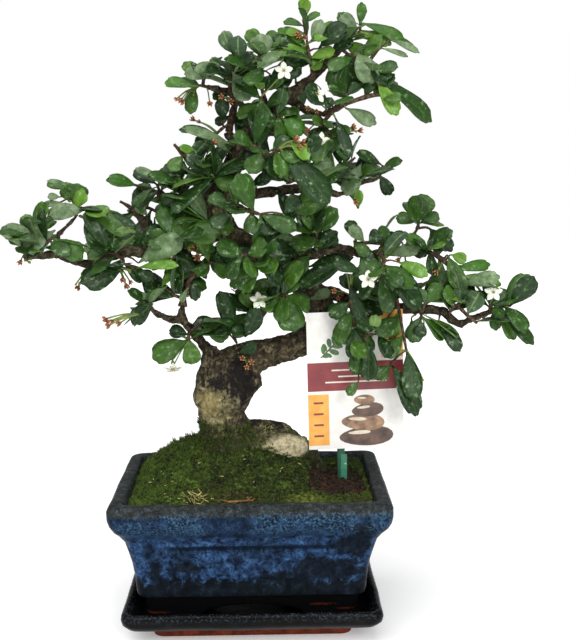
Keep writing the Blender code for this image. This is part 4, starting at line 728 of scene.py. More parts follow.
fallen = plain("fallen_twig", 3, (96, 62, 38), (168, 120, 78), Roughness=0.85)
fallen_work = bmesh.new()
FALLEN = [((-13, -49.5), (2, -48.5), 0.75), ((-3, -49), (1, -45.5), 0.45), ((-18, -47), (-9, -50), 0.4)]
for (x0, y0), (x1, y1), radius in FALLEN:
    ends = [Vector((x, y, moss_top(x, y) + 0.7)) for x, y in ((x0, y0), (x1, y1))]
    run = ends[1] - ends[0]
    rod(fallen_work, 7, radius, radius * 0.6, run.length, seated_at(ends[0].lerp(ends[1], 0.5), run))
piece("fallen_twig", fallen_work, [fallen])


# Wood. The tree's own trunk, burls, surface roots and branches, years of hard pruning behind
# them. The bark is rough all over: knobbly and purple-brown on the branches, grey-brown and
# finely cracked on the trunk, worn pale on the burl and on the fat root beside it.
BARK_VOXEL = 0.95
wood_start = bmesh.new()
wood_start.from_mesh(wood_solid)
bmesh.ops.remove_doubles(wood_start, verts=wood_start.verts, dist=0.002 * MM)
wood = body_of("bark", wood_start)
remesh = wood.modifiers.new("remesh", "REMESH")
remesh.mode = "VOXEL"
remesh.voxel_size = BARK_VOXEL * MM
graph = bpy.context.evaluated_depsgraph_get()
graph.update()
wood_work = bmesh.new()
wood_work.from_mesh(wood.evaluated_get(graph).to_mesh())
bpy.data.objects.remove(wood)
bmesh.ops.scale(wood_work, vec=(1 / MM, 1 / MM, 1 / MM), verts=wood_work.verts)
for _ in range(3):
    bmesh.ops.smooth_vert(wood_work, verts=wood_work.verts, factor=0.5,
                          use_axis_x=True, use_axis_y=True, use_axis_z=True)

PALE_SPOTS = [((-25, -16, 138), 11, 1.0), ((-20, -20, 129), 8, 0.8), ((25, -12, 108), 13, 1.0),
              ((-20, -6, 252), 10, 0.9), ((11, -14, 111), 8, 0.8)]
worn = wood_work.verts.layers.float.new("worn")
crack_and_shade = wood_work.verts.layers.float.new("crack_and_shade")
low = wood_work.verts.layers.float.new("low")
wood_work.normal_update()
shifts = []
for vert in wood_work.verts:
    place = vert.co.copy()
    thick = 1.0 if place.z < 232 and -40 < place.x < 52 else 0.0
    thick = max(thick, min(max((300 - place.z) / 60, 0), 1) if -32 < place.x < 10 else 0.0)
    stretched = Vector((place.x, place.y, place.z * (0.5 if thick else 0.9)))
    furrow = abs(noise.noise(stretched / 3.4 + noise.noise_vector(place / 6) * 0.7))
    crevice = max(0.0, 1 - furrow * 5.5)
    knobs = noise.noise(place / 5.2) * 1.15 + noise.noise(place / 2.3 + Vector((7, 0, 0))) * 0.5
    swell = noise.noise(place / 13) * 1.1
    rise = knobs * (0.75 if thick else 0.95) + swell * (1.0 if thick else 0.5)
    rise -= crevice * (0.55 if thick else 0.3)
    shifts.append(vert.normal * rise)
    vert[worn] = min(sum(share * math.exp(-((place - Vector(spot)).length / size) ** 2)
                         for spot, size, share in PALE_SPOTS) + 0.27 * thick, 1)
    # Cracks and the low places of the bumps, kept for their darker bark and for painted shade in them.
    vert[crack_and_shade] = min(crevice + max(0.0, -knobs) * 0.6, 1)
    vert[low] = min(max((126 - place.z) / 30, 0), 1)
for vert, shift in zip(wood_work.verts, shifts):
    vert.co += shift

bark = Finish("bark", Roughness=0.9, Specular_IOR_Level=0.25)
rough = bark.grain(3.2, 5, 0.65)
dots = bark.grain(1.1, 3, 0.7)
dark_bark = rough.steps((0.3, (32, 27, 20)), (0.5, (65, 57, 41)), (0.7, (106, 98, 74)))
pale_bark = rough.steps((0.3, (62, 59, 36)), (0.5, (110, 104, 72)), (0.7, (176, 166, 128)))
root_lump = bark.blots(rough * 0.5, ((25, -13, 110), (18, 14, 8)))
pale_bark = (root_lump * 0.8).blend(pale_bark, (206, 194, 158))
share = (bark.stored("worn") + (rough - 0.5) * 0.9).level(0.2, 0.85)
colour = share.blend(dark_bark, pale_bark)
colour = dots.level(0.52, 0.68, 0, 0.55).blend(colour, (34, 27, 22))
colour = dots.level(0.36, 0.26, 0, 0.35).blend(colour, (170, 160, 140))
# Darker bark in the cracks, deepened as painted shade in them and in the bumps' low places.
cracks_and_shade = bark.stored("crack_and_shade").level(0.25, 0.9) * 0.85 * root_lump.level(0.1, 0.9, 1.0, 0.4)
colour = cracks_and_shade.blend(colour, (19, 14, 12))
algae = bark.stored("low").level(0.05, 0.45) * bark.grain(6, 4).level(0.34, 0.52) * (1.0 - root_lump)
colour = (algae * 0.8).blend(colour, (46, 54, 26))
tanned = bark.blots(rough * 0.9, ((-25, -18, 138), (9, 14, 12)))
colour = (tanned * 0.35).blend(colour, (170, 152, 96))
torn = (dots - 0.3) * 3.5
# Painted shade: near black in the burl's hollows and in one hollow by the root lump.
hollow_shade = bark.blots((rough - 0.4) * 2.2, ((-19, -21, 153), (8, 12, 5.5)), ((-6, -18, 161), (7, 12, 8)),
                    ((-3, -15, 150), (8, 12, 12)), ((-11, -20, 151), (5, 12, 7)),
                    ((20, -10, 122), (14, 16, 3)))
colour = (hollow_shade * 0.93).blend(colour, (17, 14, 14))
ridge = bark.blots(torn, ((-12.5, -21, 148), (1.6, 9, 7)), ((-7, -20, 141), (1.9, 9, 6)))
colour = (ridge * 0.5).blend(colour, (140, 132, 112))
lichen = bark.blots(torn, ((11, -12, 121), (8, 14, 3.4)))
colour = (lichen * 0.75).blend(colour, (156, 164, 98))
bark.coat(Base_Color=colour)
bark.relief(rough, 0.5)
bark.relief(dots, 0.25)
piece("bark_wood", wood_work, [bark], replaced=["wood"])


# Leafy shoots. Young twigs on the old wood, each with a cluster of leathery, glossy leaves that
# end in a few blunt teeth. The table repeats the solids' own plan, (x, y, z[, radius]) along a
# twig and (x, z) of a leaf's root and tip with its width, so that every leaf keeps its place.
SHOOTS = {
    # more: further leaves that the solids place by rule; calyxes: where dried cups hang
    "crown_left": dict(twigs=[[(-23, -8, 331), (-28, -10, 332), (-31, -11, 330)],
        [(-26, -9, 331.5), (-25, -13, 337)]],
        leaves=[(-29, 332, -49, 334, 8), (-29, 331, -34, 315, 8), (-25, 335, -37, 346, 9),
        (-25, 336, -16, 348, 9)], calyxes=[(-39, -13, 324), (-22, -17, 322)]),
    "crown_inner": dict(twigs=[[(-9, -5, 326), (-10, -9, 334), (-7, -11, 343), (-7, -11, 350)]],
        leaves=[(-7, 350, -13, 364, 9), (-9, 334, 7, 339, 11), (-9, 337, -24, 342, 9),
        (-7, 343, 6, 349, 9)]),
    "crown_middle": dict(twigs=[[(14, 1, 316), (9, -4, 332), (8, -6, 343), (9, -7, 352), (15, -7, 356)],
        [(9, -5, 335), (10, -18, 343), (14, -26, 347)]],
        leaves=[(9, 352, 21, 362, 11), (14, 356, 35, 360, 8), (8, 343, 25, 352, 10), (10, 353, 1, 364, 9)],
        more=3),
    "crown_shoot": dict(twigs=[[(41, 2, 337), (39, -3, 346), (37, -4, 358), (35, -4, 370)],
        [(39, -3, 347), (36, 12, 351), (32, 24, 353)]],
        leaves=[(35, 370, 37, 383, 9), (35, 370, 45, 374, 6), (35, 366, 23, 369, 6), (36, 362, 24, 362, 7),
        (38, 356, 56, 367, 9), (38, 350, 26, 356, 8), (39, 347, 54, 352, 9)], calyxes=[(33, -9, 361)],
        more=3),
    "apex_up": dict(twigs=[[(57, 2, 353), (62, 1, 358), (69, 0, 363), (69, -1, 369)]],
        leaves=[(69, 368, 96, 358, 8), (66, 361, 56, 374, 8), (69, 369, 70, 380, 6), (67, 361, 88, 355, 10),
        (69, 363, 104, 351, 7), (62, 358, 50, 366, 9), (60, 356, 72, 350, 9)]),
    "apex_right": dict(twigs=[[(57, 2, 353), (63, -6, 349), (72, -9, 344), (80, -10, 335)]],
        leaves=[(62, 349, 59, 326, 18), (67, 347, 77, 330, 14), (80, 335, 113, 309, 13),
        (77, 340, 88, 336, 8), (76, 341, 92, 342, 9), (65, 348, 50, 340, 10)]),
    "crown_twig_tip": dict(twigs=[[(48, -5, 314, 2), (60, -6, 320, 1.7), (76, -7, 325, 1.3),
         (84, -8, 325, 0.8)], [(60, -6, 320), (61, -10, 326)]],
        leaves=[(80, 326, 94, 322, 8), (77, 326, 83, 336, 8), (61, 325, 70, 332, 8), (61, 324, 50, 331, 9),
        (84, 325, 92, 314, 7)]),
    "crown_hanging": dict(twigs=[[(43, -4, 315), (48, -10, 307), (52, -12, 300)],
        [(46.5, -8, 309.5), (54, -14, 317)]],
        leaves=[(52, 301, 63, 288, 9), (51, 301, 50, 289, 8), (51, 305, 63, 303, 9), (50, 306, 38, 299, 9),
        (50, 308, 40, 312, 8)], calyxes=[(64, -13, 306), (38, -9, 305)]),
    "crown_front": dict(twigs=[[(9, 1, 309), (12, -12, 316), (9, -19, 325)],
        [(12, -10, 315), (22, -14, 312)]],
        leaves=[(9, 325, 10, 302, 16), (9, 324, -6, 334, 11), (22, 312, 34, 302, 12),
        (12, 319, 26, 328, 11), (11, 320, -6, 314, 10)]),
    "front_crown": dict(twigs=[[(6, -21, 293.7, 2), (14, -36, 290, 1.4), (20, -42, 294, 0.8)],
        [(9, -27, 292.2), (4, -31, 296)]],
        leaves=[(19, 293, 33, 287, 11), (10, 292, 1, 279, 11), (15, 291, 26, 301, 10),
        (15, 290, 18, 276, 11), (5, 296, -8, 302, 10)]),
    "left_dark": dict(twigs=[[(-28, -2.4, 278, 2.2), (-31, -4, 281, 2.1), (-38, -8, 290, 1.5),
         (-44, -12, 297, 0.8)], [(-31, -4, 281), (-27, -9, 285)]],
        leaves=[(-38, 291, -47, 281, 9), (-28, 285, -41, 295, 8), (-27, 284, -16, 290, 9)],
        calyxes=[(-20, -14, 297)]),
    "crown_brown": dict(twigs=[[(-11.2, 7, 302, 2.6), (-8, 8, 316, 2.2), (-5, 7, 326, 1.7),
         (-8, 4, 331, 1.2), (-13, 2, 336, 0.8)], [(-9.5, 7.5, 309), (-15, 3, 306), (-18, 0, 303)]],
        leaves=[(-18, 302, -41, 306, 7), (-16, 303, -27, 293, 9), (-8, 331, -20, 324, 9),
        (-12, 335, -4, 345, 9)]),
    "left_upper_tip": dict(twigs=[[(-49, -2.5, 264.4, 2.4), (-53, -3, 267, 2.3), (-60, -4, 270, 1.6),
         (-69, -7, 273, 0.8)], [(-53, -3, 267), (-55, -8, 273)]],
        leaves=[(-67, 272, -86, 276, 9), (-55, 273, -69, 282, 9), (-63, 271, -67, 255, 8),
        (-55, 272, -48, 282, 9)]),
    "left_upper_middle": dict(twigs=[[(-40, -1, 260.5), (-41, -9, 267), (-39, -13, 273)]],
        leaves=[(-39, 273, -51, 282, 9), (-39, 272, -28, 279, 9), (-41, 267, -53, 260, 9),
        (-41, 266, -31, 259, 10)]),
    "left_upper_long": dict(twigs=[[(-24, 0, 274), (-22, -8, 276), (-20, -14, 277)]],
        leaves=[(-20, 277, -48, 255, 9), (-21, 276, -8, 272, 11), (-22, 276, -33, 270, 9),
        (-20, 277, -18, 290, 9)]),
    "left_front": dict(twigs=[[(-18, 2, 250), (-22, -9, 250), (-27, -18, 251)]],
        leaves=[(-26, 251, -47, 243, 12), (-24, 250, -44, 254, 11), (-27, 251, -30, 236, 11),
        (-24, 250, -9, 244, 11)]),
    "left_main_near": dict(twigs=[[(-43, 0, 232.5), (-43, -9, 237), (-46, -14, 239)],
        [(-43, -6.6, 235.8), (-46, -10, 228)]],
        leaves=[(-45, 238, -62, 236, 9), (-46, 228, -62, 222, 9), (-43, 236, -34, 245, 10),
        (-46, 228, -36, 219, 9)], calyxes=[(-32, -12, 232)]),
    "left_knob": dict(twigs=[[(-63, 5, 250, 2.9), (-68, 7, 255.4, 2.4), (-73, 6, 260, 1.4),
         (-78, 5, 263, 0.8)], [(-68, 7, 255.4), (-62, 3, 259), (-55, 1, 256)]],
        leaves=[(-55, 254, -48, 264, 8), (-56, 253, -44, 250, 9)]),
    "left_tip": dict(twigs=[[(-137, 0, 229), (-136, -3, 237), (-131, -5, 245)],
        [(-136.5, -2, 233), (-143, -4, 235)]],
        leaves=[(-131, 245, -153, 245, 9), (-136, 237, -147, 240, 5), (-131, 245, -122, 263, 10),
        (-133, 243, -136, 256, 8)], calyxes=[(-140, -11, 227)]),
    "left_tip_under": dict(twigs=[[(-128, -1, 230), (-126, -8, 236), (-120, -11, 241)]],
        leaves=[(-122, 240, -136, 231, 11), (-120, 241, -102, 228, 12)]),
    "left_raised": dict(twigs=[[(-105, -9, 254), (-106, -11, 262), (-109, -12, 270)],
        [(-105.4, -10, 259), (-97, -13, 259)]],
        leaves=[(-98, 258, -72, 243, 14), (-105, 258, -123, 254, 9), (-107, 262, -103, 274, 13),
        (-109, 270, -122, 275, 7)]),
    "left_main_under": dict(twigs=[[(-78, -5, 231), (-77, -12, 225), (-80, -15, 222)],
        [(-77.5, -9, 228), (-83, -12.5, 231), (-89, -13, 233)]],
        leaves=[(-79, 222, -104, 213, 13), (-77, 225, -64, 214, 9), (-89, 232, -98, 244, 9),
        (-89, 232, -78, 241, 10)], calyxes=[(-76, -17, 212), (-105, -10, 211)]),
    "left_low_tip": dict(twigs=[[(-60, -5, 196), (-63, -7, 201)], [(-61.6, -6, 198.8), (-68, -9, 193)]],
        leaves=[(-63, 200, -73, 187, 10), (-63, 201, -75, 208, 7)],
        calyxes=[(-87, -11, 189), (-80, -12, 188)]),
    "left_low_hanging": dict(twigs=[[(-37, -2, 184), (-38, -9, 179), (-38, -12, 176)],
        [(-37.6, -6.2, 181), (-29, -10, 188)]],
        leaves=[(-38, 177, -61, 165, 14), (-38, 177, -36, 161, 11), (-31, 187, -13, 178, 13),
        (-38, 178, -50, 183, 9)], calyxes=[(-48, -16, 160)]),
    "left_low_up": dict(twigs=[[(-41.3, -5, 198, 2), (-40, -3, 208, 1.5), (-41, -5, 214, 1.2),
         (-40, -7, 218, 0.8)], [(-40.2, -5.3, 203), (-47, -7, 205)]],
        leaves=[(-37, 215, -52, 220, 9), (-38, 213, -26, 209, 10), (-46, 203, -58, 208, 10)]),
    "left_down": dict(twigs=[[(-24, -6.8, 228, 2.3), (-30, -9, 221, 2.1), (-37, -11, 213, 1.6),
         (-38, -18, 204, 0.8)], [(-28, -8.2, 223.4), (-22, -14, 225)]],
        leaves=[(-22, 226, -12, 216, 10), (-22, 226, -32, 217, 9)]),
    "front_low": dict(twigs=[[(8.4, -19, 226, 2.2), (6, -24, 226, 2), (0, -38, 229, 1.4),
         (-4, -45, 229, 0.8)], [(5, -27, 226.6), (9, -32, 221)]],
        leaves=[(-2, 230, -20, 236, 12), (-4, 229, -14, 215, 11), (-1, 229, 12, 236, 12),
        (8, 222, -12, 210, 10), (9, 222, 20, 211, 11)]),
    "front_middle": dict(twigs=[[(-10, -23, 260.4, 2.2), (-6, -28, 259, 2), (2, -38, 256, 1.4),
         (8, -44, 254, 0.8)], [(-5, -29.3, 258.6), (-10, -34, 255)]],
        leaves=[(4, 256, -6, 279, 15), (7, 254, 30, 244, 11), (2, 256, 4, 242, 11),
        (-10, 255, -22, 246, 11), (-9, 257, -24, 266, 10)]),
    "rising_tip": dict(twigs=[[(9.4, 2, 195, 2.4), (5, 1, 187, 1.7), (3, -6, 183, 1.2), (1, -10, 180, 0.8)],
        [(7.5, 1.6, 191.6), (2, -6, 195)]],
        leaves=[(2, 195, -4, 207, 9), (2, 195, -18, 202, 11), (2, 181, -12, 182, 10)]),
    "rising_front": dict(twigs=[[(16, 4, 205), (19, -10, 204), (24, -16, 204)]],
        leaves=[(24, 204, 28, 181, 16), (22, 204, 38, 195, 12), (20, 204, 8, 195, 11),
        (23, 204, 32, 216, 11)]),
    "label_cover": dict(twigs=[[(62, 8, 201), (63, -6, 204), (63, -16, 199), (65, -19, 186),
         (69, -20, 174)]],
        leaves=[(64, 194, 55, 172, 11), (65, 186, 75, 165, 12), (69, 175, 66, 153, 10),
        (64, 190, 78, 182, 11), (63, 199, 50, 190, 11), (63, 202, 76, 197, 10)],
        calyxes=[(54, -14, 206)]),
    "label_hanging": dict(twigs=[[(92, 1, 195), (92, -10, 200), (94, -18, 190), (98, -18, 168)]],
        leaves=[(98, 169, 103, 136, 12), (96, 178, 84, 164, 10), (93, 189, 80, 178, 11)]),
    "upper_curled": dict(twigs=[[(41, 4, 230), (42, -6, 238), (42, -11, 243)]],
        leaves=[(42, 242, 55, 257, 12), (42, 243, 35, 257, 10), (42, 238, 56, 238, 11),
        (42, 239, 27, 235, 11)]),
    "upper_middle": dict(twigs=[[(66, -2, 230.5), (66, -9, 236), (67, -12, 240)],
        [(66, -8, 235.2), (74, -12, 236), (83, -12, 235)]],
        leaves=[(66, 238, 62, 250, 8), (83, 233, 97, 241, 8), (82, 233, 85, 246, 8)]),
    "upper_stub": dict(twigs=[[(104.5, -7, 244), (105, -9, 248), (106, -10, 252)]],
        leaves=[(105, 247, 106, 265, 14), (105, 246, 91, 251, 9), (105, 246, 118, 250, 9),
        (105, 246, 97, 257, 8)]),
    "right_front": dict(twigs=[[(81.4, -20, 229.7, 1.8), (84, -34, 225, 1.3), (83, -38, 221, 1),
         (81, -40, 215, 0.8)]],
        leaves=[(83, 221, 107, 194, 13), (81, 215, 88, 192, 11), (83, 222, 68, 217, 10),
        (81, 216, 68, 202, 11)]),
    "upper_tip": dict(twigs=[[(106, -6, 230.7, 2.1), (112, -6, 229.6, 1.9), (120, -5, 225, 1.5),
         (131, -8, 215, 0.8)], [(112, -6, 229.6), (113, -11, 233)]],
        leaves=[(131, 215, 157, 209, 9), (127, 219, 150, 222, 8), (125, 220, 111, 202, 11),
        (113, 232, 126, 243, 10), (112, 232, 97, 239, 9)], calyxes=[(117, -13, 218)]),
    "right_knob": dict(twigs=[[(105, -3, 195), (107, -10, 191), (108, -13, 188)],
        [(106.7, -9, 191.6), (110, -12, 199)]],
        leaves=[(108, 189, 131, 169, 12), (107, 190, 101, 173, 11), (110, 199, 96, 206, 10),
        (110, 199, 120, 210, 10)]),
    "right_tip": dict(twigs=[[(145, 0, 189.8, 1.9), (156, 1, 195, 1.3), (159, -2, 196.5, 0.8)],
        [(150, 0.4, 192), (150, -6, 197)]],
        leaves=[(158, 196, 175, 215, 14), (157, 195, 179, 171, 10), (157, 195, 166, 174, 9),
        (156, 195, 154, 180, 7), (150, 196, 160, 206, 8)]),
    "right_bend": dict(twigs=[[(124, -4, 190), (127, -9, 195), (132, -11, 198)],
        [(129.5, -10, 196.5), (136, -12, 190), (142, -10, 185)]],
        leaves=[(131, 198, 148, 203, 7), (127, 195, 123, 209, 9), (132, 198, 138, 211, 9)]),
    "middle_tip": dict(twigs=[[(60.5, -6, 267.4, 2), (70, -5, 273, 1.7), (80, -4, 276, 1.3),
         (83, -7, 283, 0.8)], [(66, -5.5, 270.5), (65, -11, 276)]],
        leaves=[(83, 283, 67, 291, 8), (82, 280, 95, 286, 7), (81, 278, 88, 265, 8), (65, 275, 55, 284, 9),
        (65, 275, 76, 283, 9)], calyxes=[(66, -12, 262)]),
    "middle_front": dict(twigs=[[(40, -4, 269.5), (41, -12, 272), (42, -17, 270)],
        [(40.6, -9, 271), (32, -12, 274), (24, -11, 274)]],
        leaves=[(42, 271, 56, 279, 10), (42, 270, 46, 254, 11), (41, 272, 36, 285, 10),
        (24, 273, 12, 281, 10), (24, 273, 30, 287, 10)]),
    "back_low": dict(twigs=[[(25.4, 37, 222.6, 2.5), (20, 50, 226, 2.1), (12, 64, 232, 1.5),
         (8, 70, 235, 0.8)], [(22.9, 43, 224.2), (34, 46, 230)], [(19.7, 50.6, 226.2), (8, 50, 234)]],
        more=7),
    "back_left": dict(twigs=[[(-26.7, 26, 265, 2.2), (-33, 40, 262, 2), (-41, 54, 268, 1.5),
         (-46, 60, 272, 0.8)], [(-29.3, 32, 263.8), (-20, 37, 272)], [(-33, 40, 262), (-44, 38, 258)]],
        more=7),
    "back_crown": dict(twigs=[[(4.6, 21, 301, 2.2), (14, 34, 303, 1.9), (24, 46, 308, 1.4),
         (30, 52, 312, 0.8)], [(8.3, 26, 301.8), (2, 34, 310)], [(14, 34, 303), (26, 32, 300)]],
        more=7),
    "right_back": dict(twigs=[[(85, 16.8, 201.6, 2.2), (98, 32, 204, 1.8), (106, 44, 208, 1.4),
         (112, 48, 212, 0.8)], [(91, 23.8, 202.7), (96, 15, 209)], [(98, 32, 204), (94, 40, 211)]],
        more=7),
    "left_back": dict(twigs=[[(-69, 13.6, 235.6, 2.2), (-82, 30, 238, 1.8), (-92, 42, 243, 1.4),
         (-97, 48, 246, 0.8)], [(-75, 21.2, 236.7), (-80, 13, 243)], [(-82, 30, 238), (-75, 37, 243)]],
        more=7),
    "middle_back": dict(twigs=[[(43.4, 12.6, 275.6, 1.9), (52, 30, 278, 1.7), (60, 42, 283, 1.4),
         (66, 46, 288, 0.8)], [(46.8, 19.6, 276.6), (36, 22, 283)], [(52, 30, 278), (60, 26, 285)]],
        more=7),
}
SWAY = [(-130, 235, 45, 22, -18), (-65, 268, 25, 14, 16), (-65, 195, 25, 22, -16),
        (155, 195, 32, 30, -16), (130, 225, 30, 14, -6), (105, 252, 26, 13, 12),
        (80, 279, 26, 14, 14), (85, 325, 28, 22, -14), (-28, 333, 16, 16, 10), (35, 372, 16, 14, 7)]
TWIG_RADIUS = 1.2
SEAT_STEP = 0.15
ROOT_SPACING = 1.7
DEPTH_TRIES = [0, -0.25, 0.25, -0.5, 0.45, -0.75, 0.7, -1.0, 1.0]
MORE_TRIES = 14
MATCH = 0.03               # a solid's point this near to a planned one is that point
EYE = Vector((13.0, -671.5, 284.6))     # where the crown's plan was read from


def at_depth(x, z, y):
    """The place at depth y that the eye sees at (x, z) on the tree's middle plane."""
    share = (y - EYE.y) / -EYE.y
    return Vector((EYE.x + (x - EYE.x) * share, y, EYE.z + (z - EYE.z) * share))


def as_seen(place):
    """Where on the tree's middle plane the eye sees a place."""
    share = -EYE.y / (place.y - EYE.y)
    return Vector((EYE.x + (place.x - EYE.x) * share, EYE.z + (place.z - EYE.z) * share))


def swayed(path):
    """A path moved in depth by the crown's sway, as in the solids."""
    moved = []
    for x, y, z, *radius in path:
        for centre_x, centre_z, spread_x, spread_z, shift in SWAY:
            y += shift * math.exp(-((x - centre_x) / spread_x) ** 2 - ((z - centre_z) / spread_z) ** 2)
        moved.append((*at_depth(x, z, y), *radius))
    return moved


def with_radii(path):
    """Twig points as (x, y, z, radius), thinning to the tip where no radius is given."""
    last = len(path) - 1
    return [p if len(p) == 4 else (*p, TWIG_RADIUS - 0.35 * k / last) for k, p in enumerate(path)]


def solid_points(node):
    """Search tree of a solid's own points, in mm."""
    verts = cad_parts[node].data.vertices
    tree = KDTree(len(verts))
    for vert in verts:
        tree.insert(vert.co / MM, vert.index)
    tree.balance()
    return tree


def is_there(tree, place):
    """Whether a solid has a point where the plan puts one."""
    return tree.find(place)[2] < MATCH


def runs_of(route):
    """The straight runs of a twig, each as its two ends."""
    points = [Vector(point[:3]) for point in route]
    return list(zip(points, points[1:]))


def seated(route, tree):
    """The twig from where the solid's twig starts, just off the bark."""
    start, following = runs_of(route)[0]
    along = (following - start).normalized()
    side = along.orthogonal().normalized()
    for k in range(int((following - start).length / SEAT_STEP)):
        point = start + along * (SEAT_STEP * k)
        if is_there(tree, point + side * route[0][3]):
            return [(*point, route[0][3])] + list(route[1:])
    return route


def closest_on(route, place):
    """The point of a twig that is nearest to a place."""
    best = None
    for a, b in runs_of(route):
        t = (place - a).dot(b - a) / (b - a).length_squared
        point = a.lerp(b, min(max(t, 0.05), 0.95))
        if best is None or (point - place).length < (best - place).length:
            best = point
    return best


def nearest_on(twigs, x, z, taken=()):
    """The free point of a shoot's twigs nearest to (x, z) as seen from the front."""
    best = None
    for route in twigs:
        for a, b in runs_of(route):
            stops = max(int((b - a).length / 0.4), 2)
            for k in range(stops):
                point = a.lerp(b, 0.1 + 0.88 * k / (stops - 1))
                if any((point - other).length < ROOT_SPACING for other in taken):
                    continue
                away = (as_seen(point) - Vector((x, z))).length
                if best is None or away < best[0]:
                    best = (away, point)
    return best[1] if best else nearest_on(twigs, x, z)


def planned_leaves(name, planned, twigs, tree):
    """Leaves as (root, tip, width, facing), where the solids have them."""
    leaves = []
    chance = random.Random(name)
    for root_x, root_z, tip_x, tip_z, width in planned:
        root = nearest_on(twigs, root_x, root_z, [leaf[0] for leaf in leaves])
        reach = (as_seen(root) - Vector((tip_x, tip_z))).length
        slant = chance.uniform(-0.6, 0.4)
        turn = chance.uniform(-0.45, 0.45)
        for change in DEPTH_TRIES:
            tip = at_depth(tip_x, tip_z, root.y + (slant + change) * reach)
            if is_there(tree, tip):
                leaves.append((root, tip, width, Vector((turn, -0.8, 0.6))))
                break
    return leaves


def leaf_root(twigs, low, high, chance):
    """A place on one of a shoot's twigs, and the way that the twig runs there."""
    runs = runs_of(chance.choice(twigs))
    a, b = runs[chance.randrange(len(runs))]
    return a.lerp(b, chance.uniform(low, high)), (b - a).normalized()


def heading_out(along, low, high, lift, chance):
    """A way out from a twig, leaning along it and lifted."""
    twist = chance.uniform(0, 2 * math.pi)
    side = along.orthogonal().normalized()
    out = side * math.cos(twist) + along.cross(side) * math.sin(twist)
    return (out + along * chance.uniform(low, high) + Vector(lift)).normalized()


def leaves_by_rule(name, wanted, twigs, tree, leaves):
    """The solids' further leaves round the twigs."""
    chance = random.Random(name + " more")
    placed = 0
    for _ in range(wanted * MORE_TRIES):
        if placed == wanted:
            break
        root, along = leaf_root(twigs, 0.25, 0.95, chance)
        if any((root - leaf[0]).length < ROOT_SPACING for leaf in leaves):
            continue
        heading = heading_out(along, 0.2, 1.0, (0, 0, 0.15), chance)
        length = chance.uniform(15, 25)
        width = length * chance.uniform(0.4, 0.52)
        facing = Vector((chance.uniform(-0.4, 0.4), chance.uniform(-0.6, 0.3), 1))
        tip = root + heading * length
        if is_there(tree, tip):
            leaves.append((root, tip, width, facing))
            placed += 1


def within_crown(place):
    """Whether a place lies behind or before one of the crown's seen leaves."""
    spot = as_seen(place)
    for start, run, half in strokes:
        along = min(max((spot - start).dot(run) / run.length_squared, 0.15), 0.92)
        if (spot - start - run * along).length < half * 0.8 + 0.5:
            return True
    return False


twigs_of, leaves_of = {}, {}
for name, plan in SHOOTS.items():
    tree = solid_points("shoot_" + name)
    routes = [with_radii(swayed(path)) for path in plan["twigs"]]
    routes[0] = seated(routes[0], tree)
    for route in routes[1:]:
        route[0] = (*closest_on(routes[0], Vector(route[0][:3])), route[0][3])
    twigs_of[name] = routes
    leaves_of[name] = planned_leaves(name, plan.get("leaves", []), routes, tree)
    leaves_by_rule(name, plan.get("more", 0), routes, tree, leaves_of[name])

strokes = [(as_seen(root), as_seen(tip) - as_seen(root), width / 2)
           for leaves in leaves_of.values() for root, tip, width, facing in leaves]
BETWEEN = 8                # leaves wanted between the planned ones of each shoot
BETWEEN_TRIES = 14
APART = 4.5                # tips and middles of the leaves between stay this far from others
# Open views through the crown and bare wood, (x low, x high, z low, z high) as seen from the front
CLEAR_VIEWS = [(-29, -12, 250, 278), (-25, -5, 238, 251), (-23, -7, 208, 224), (-6, 8, 240, 265),
               (-98, -70, 260, 272), (-56, -40, 288, 309), (51, 70, 282, 299), (48, 64, 235, 259),
               (92, 113, 130, 190), (135, 160, 168, 185), (-72, -52, 171, 189), (60, 81, 238, 253),
               (-47, -38, 200, 207), (96, 110, 240, 254)]
CROWN_LOW = Vector((-150, -60, 150))
CROWN_HIGH = Vector((176, 86, 380))


def in_clear_view(place):
    """Whether a place would cover one of the open views."""
    spot = as_seen(place)
    return any(x_low < spot.x < x_high and z_low < spot.y < z_high
               for x_low, x_high, z_low, z_high in CLEAR_VIEWS)


between = {}
tips = [leaf[1] for leaves in leaves_of.values() for leaf in leaves]
middles = [leaf[0].lerp(leaf[1], 0.6) for leaves in leaves_of.values() for leaf in leaves]
for name, routes in twigs_of.items():
    chance = random.Random(name + " between")
    between[name] = []
    for _ in range(BETWEEN * BETWEEN_TRIES):
        if len(between[name]) == BETWEEN:
            break
        root, along = leaf_root(routes, 0.2, 1.0, chance)
        heading = heading_out(along, 0.1, 1.1, (0, 0.25, 0.1), chance)
        length = chance.triangular(11, 30, 21)
        width = length * chance.uniform(0.42, 0.54)
        facing = Vector((chance.uniform(-0.5, 0.5), chance.uniform(-1.0, 0.2), 0.9))
        tip = root + heading * length
        middle = root.lerp(tip, 0.6)
        if not all(CROWN_LOW[k] < tip[k] < CROWN_HIGH[k] for k in range(3)):
            continue
        if not within_crown(tip) or not within_crown(middle):
            continue
        if any(in_clear_view(root.lerp(tip, share)) for share in (0.5, 0.9)):
            continue
        if min((tip - other).length for other in tips) < APART:
            continue
        if min((middle - other).length for other in middles) < APART:
            continue
        between[name].append((root, tip, width, facing))
        tips.append(tip)
        middles.append(middle)

# A leaf's shape
WIDEST = 0.66              # where along its length a leaf is widest


def leaf_half(t):
    """Half width of a leaf along its length, as a share of its widest: narrow foot, blunt end."""
    if t > WIDEST:
        return (1 - min((t - WIDEST) / 0.342, 1.0) ** 2.2) ** 0.5
    return (1 - (1 - t / WIDEST) ** 1.55) * min(t / 0.2, 1)


LEAF_ROWS = [0.0, 0.12, 0.32, 0.52, 0.68, 0.80, 0.90, 0.97, 1.0]
WIDER = 1.06               # a finished leaf's width to its solid's
LEAF_COLUMNS = 4
LEAF_THICK = 0.42
PETIOLE_HALF = 0.42
TWIG, TOP, UNDER, GREEN, DRIED, PETAL, ANTHER = range(7)     # a shoot's finishes, in their order


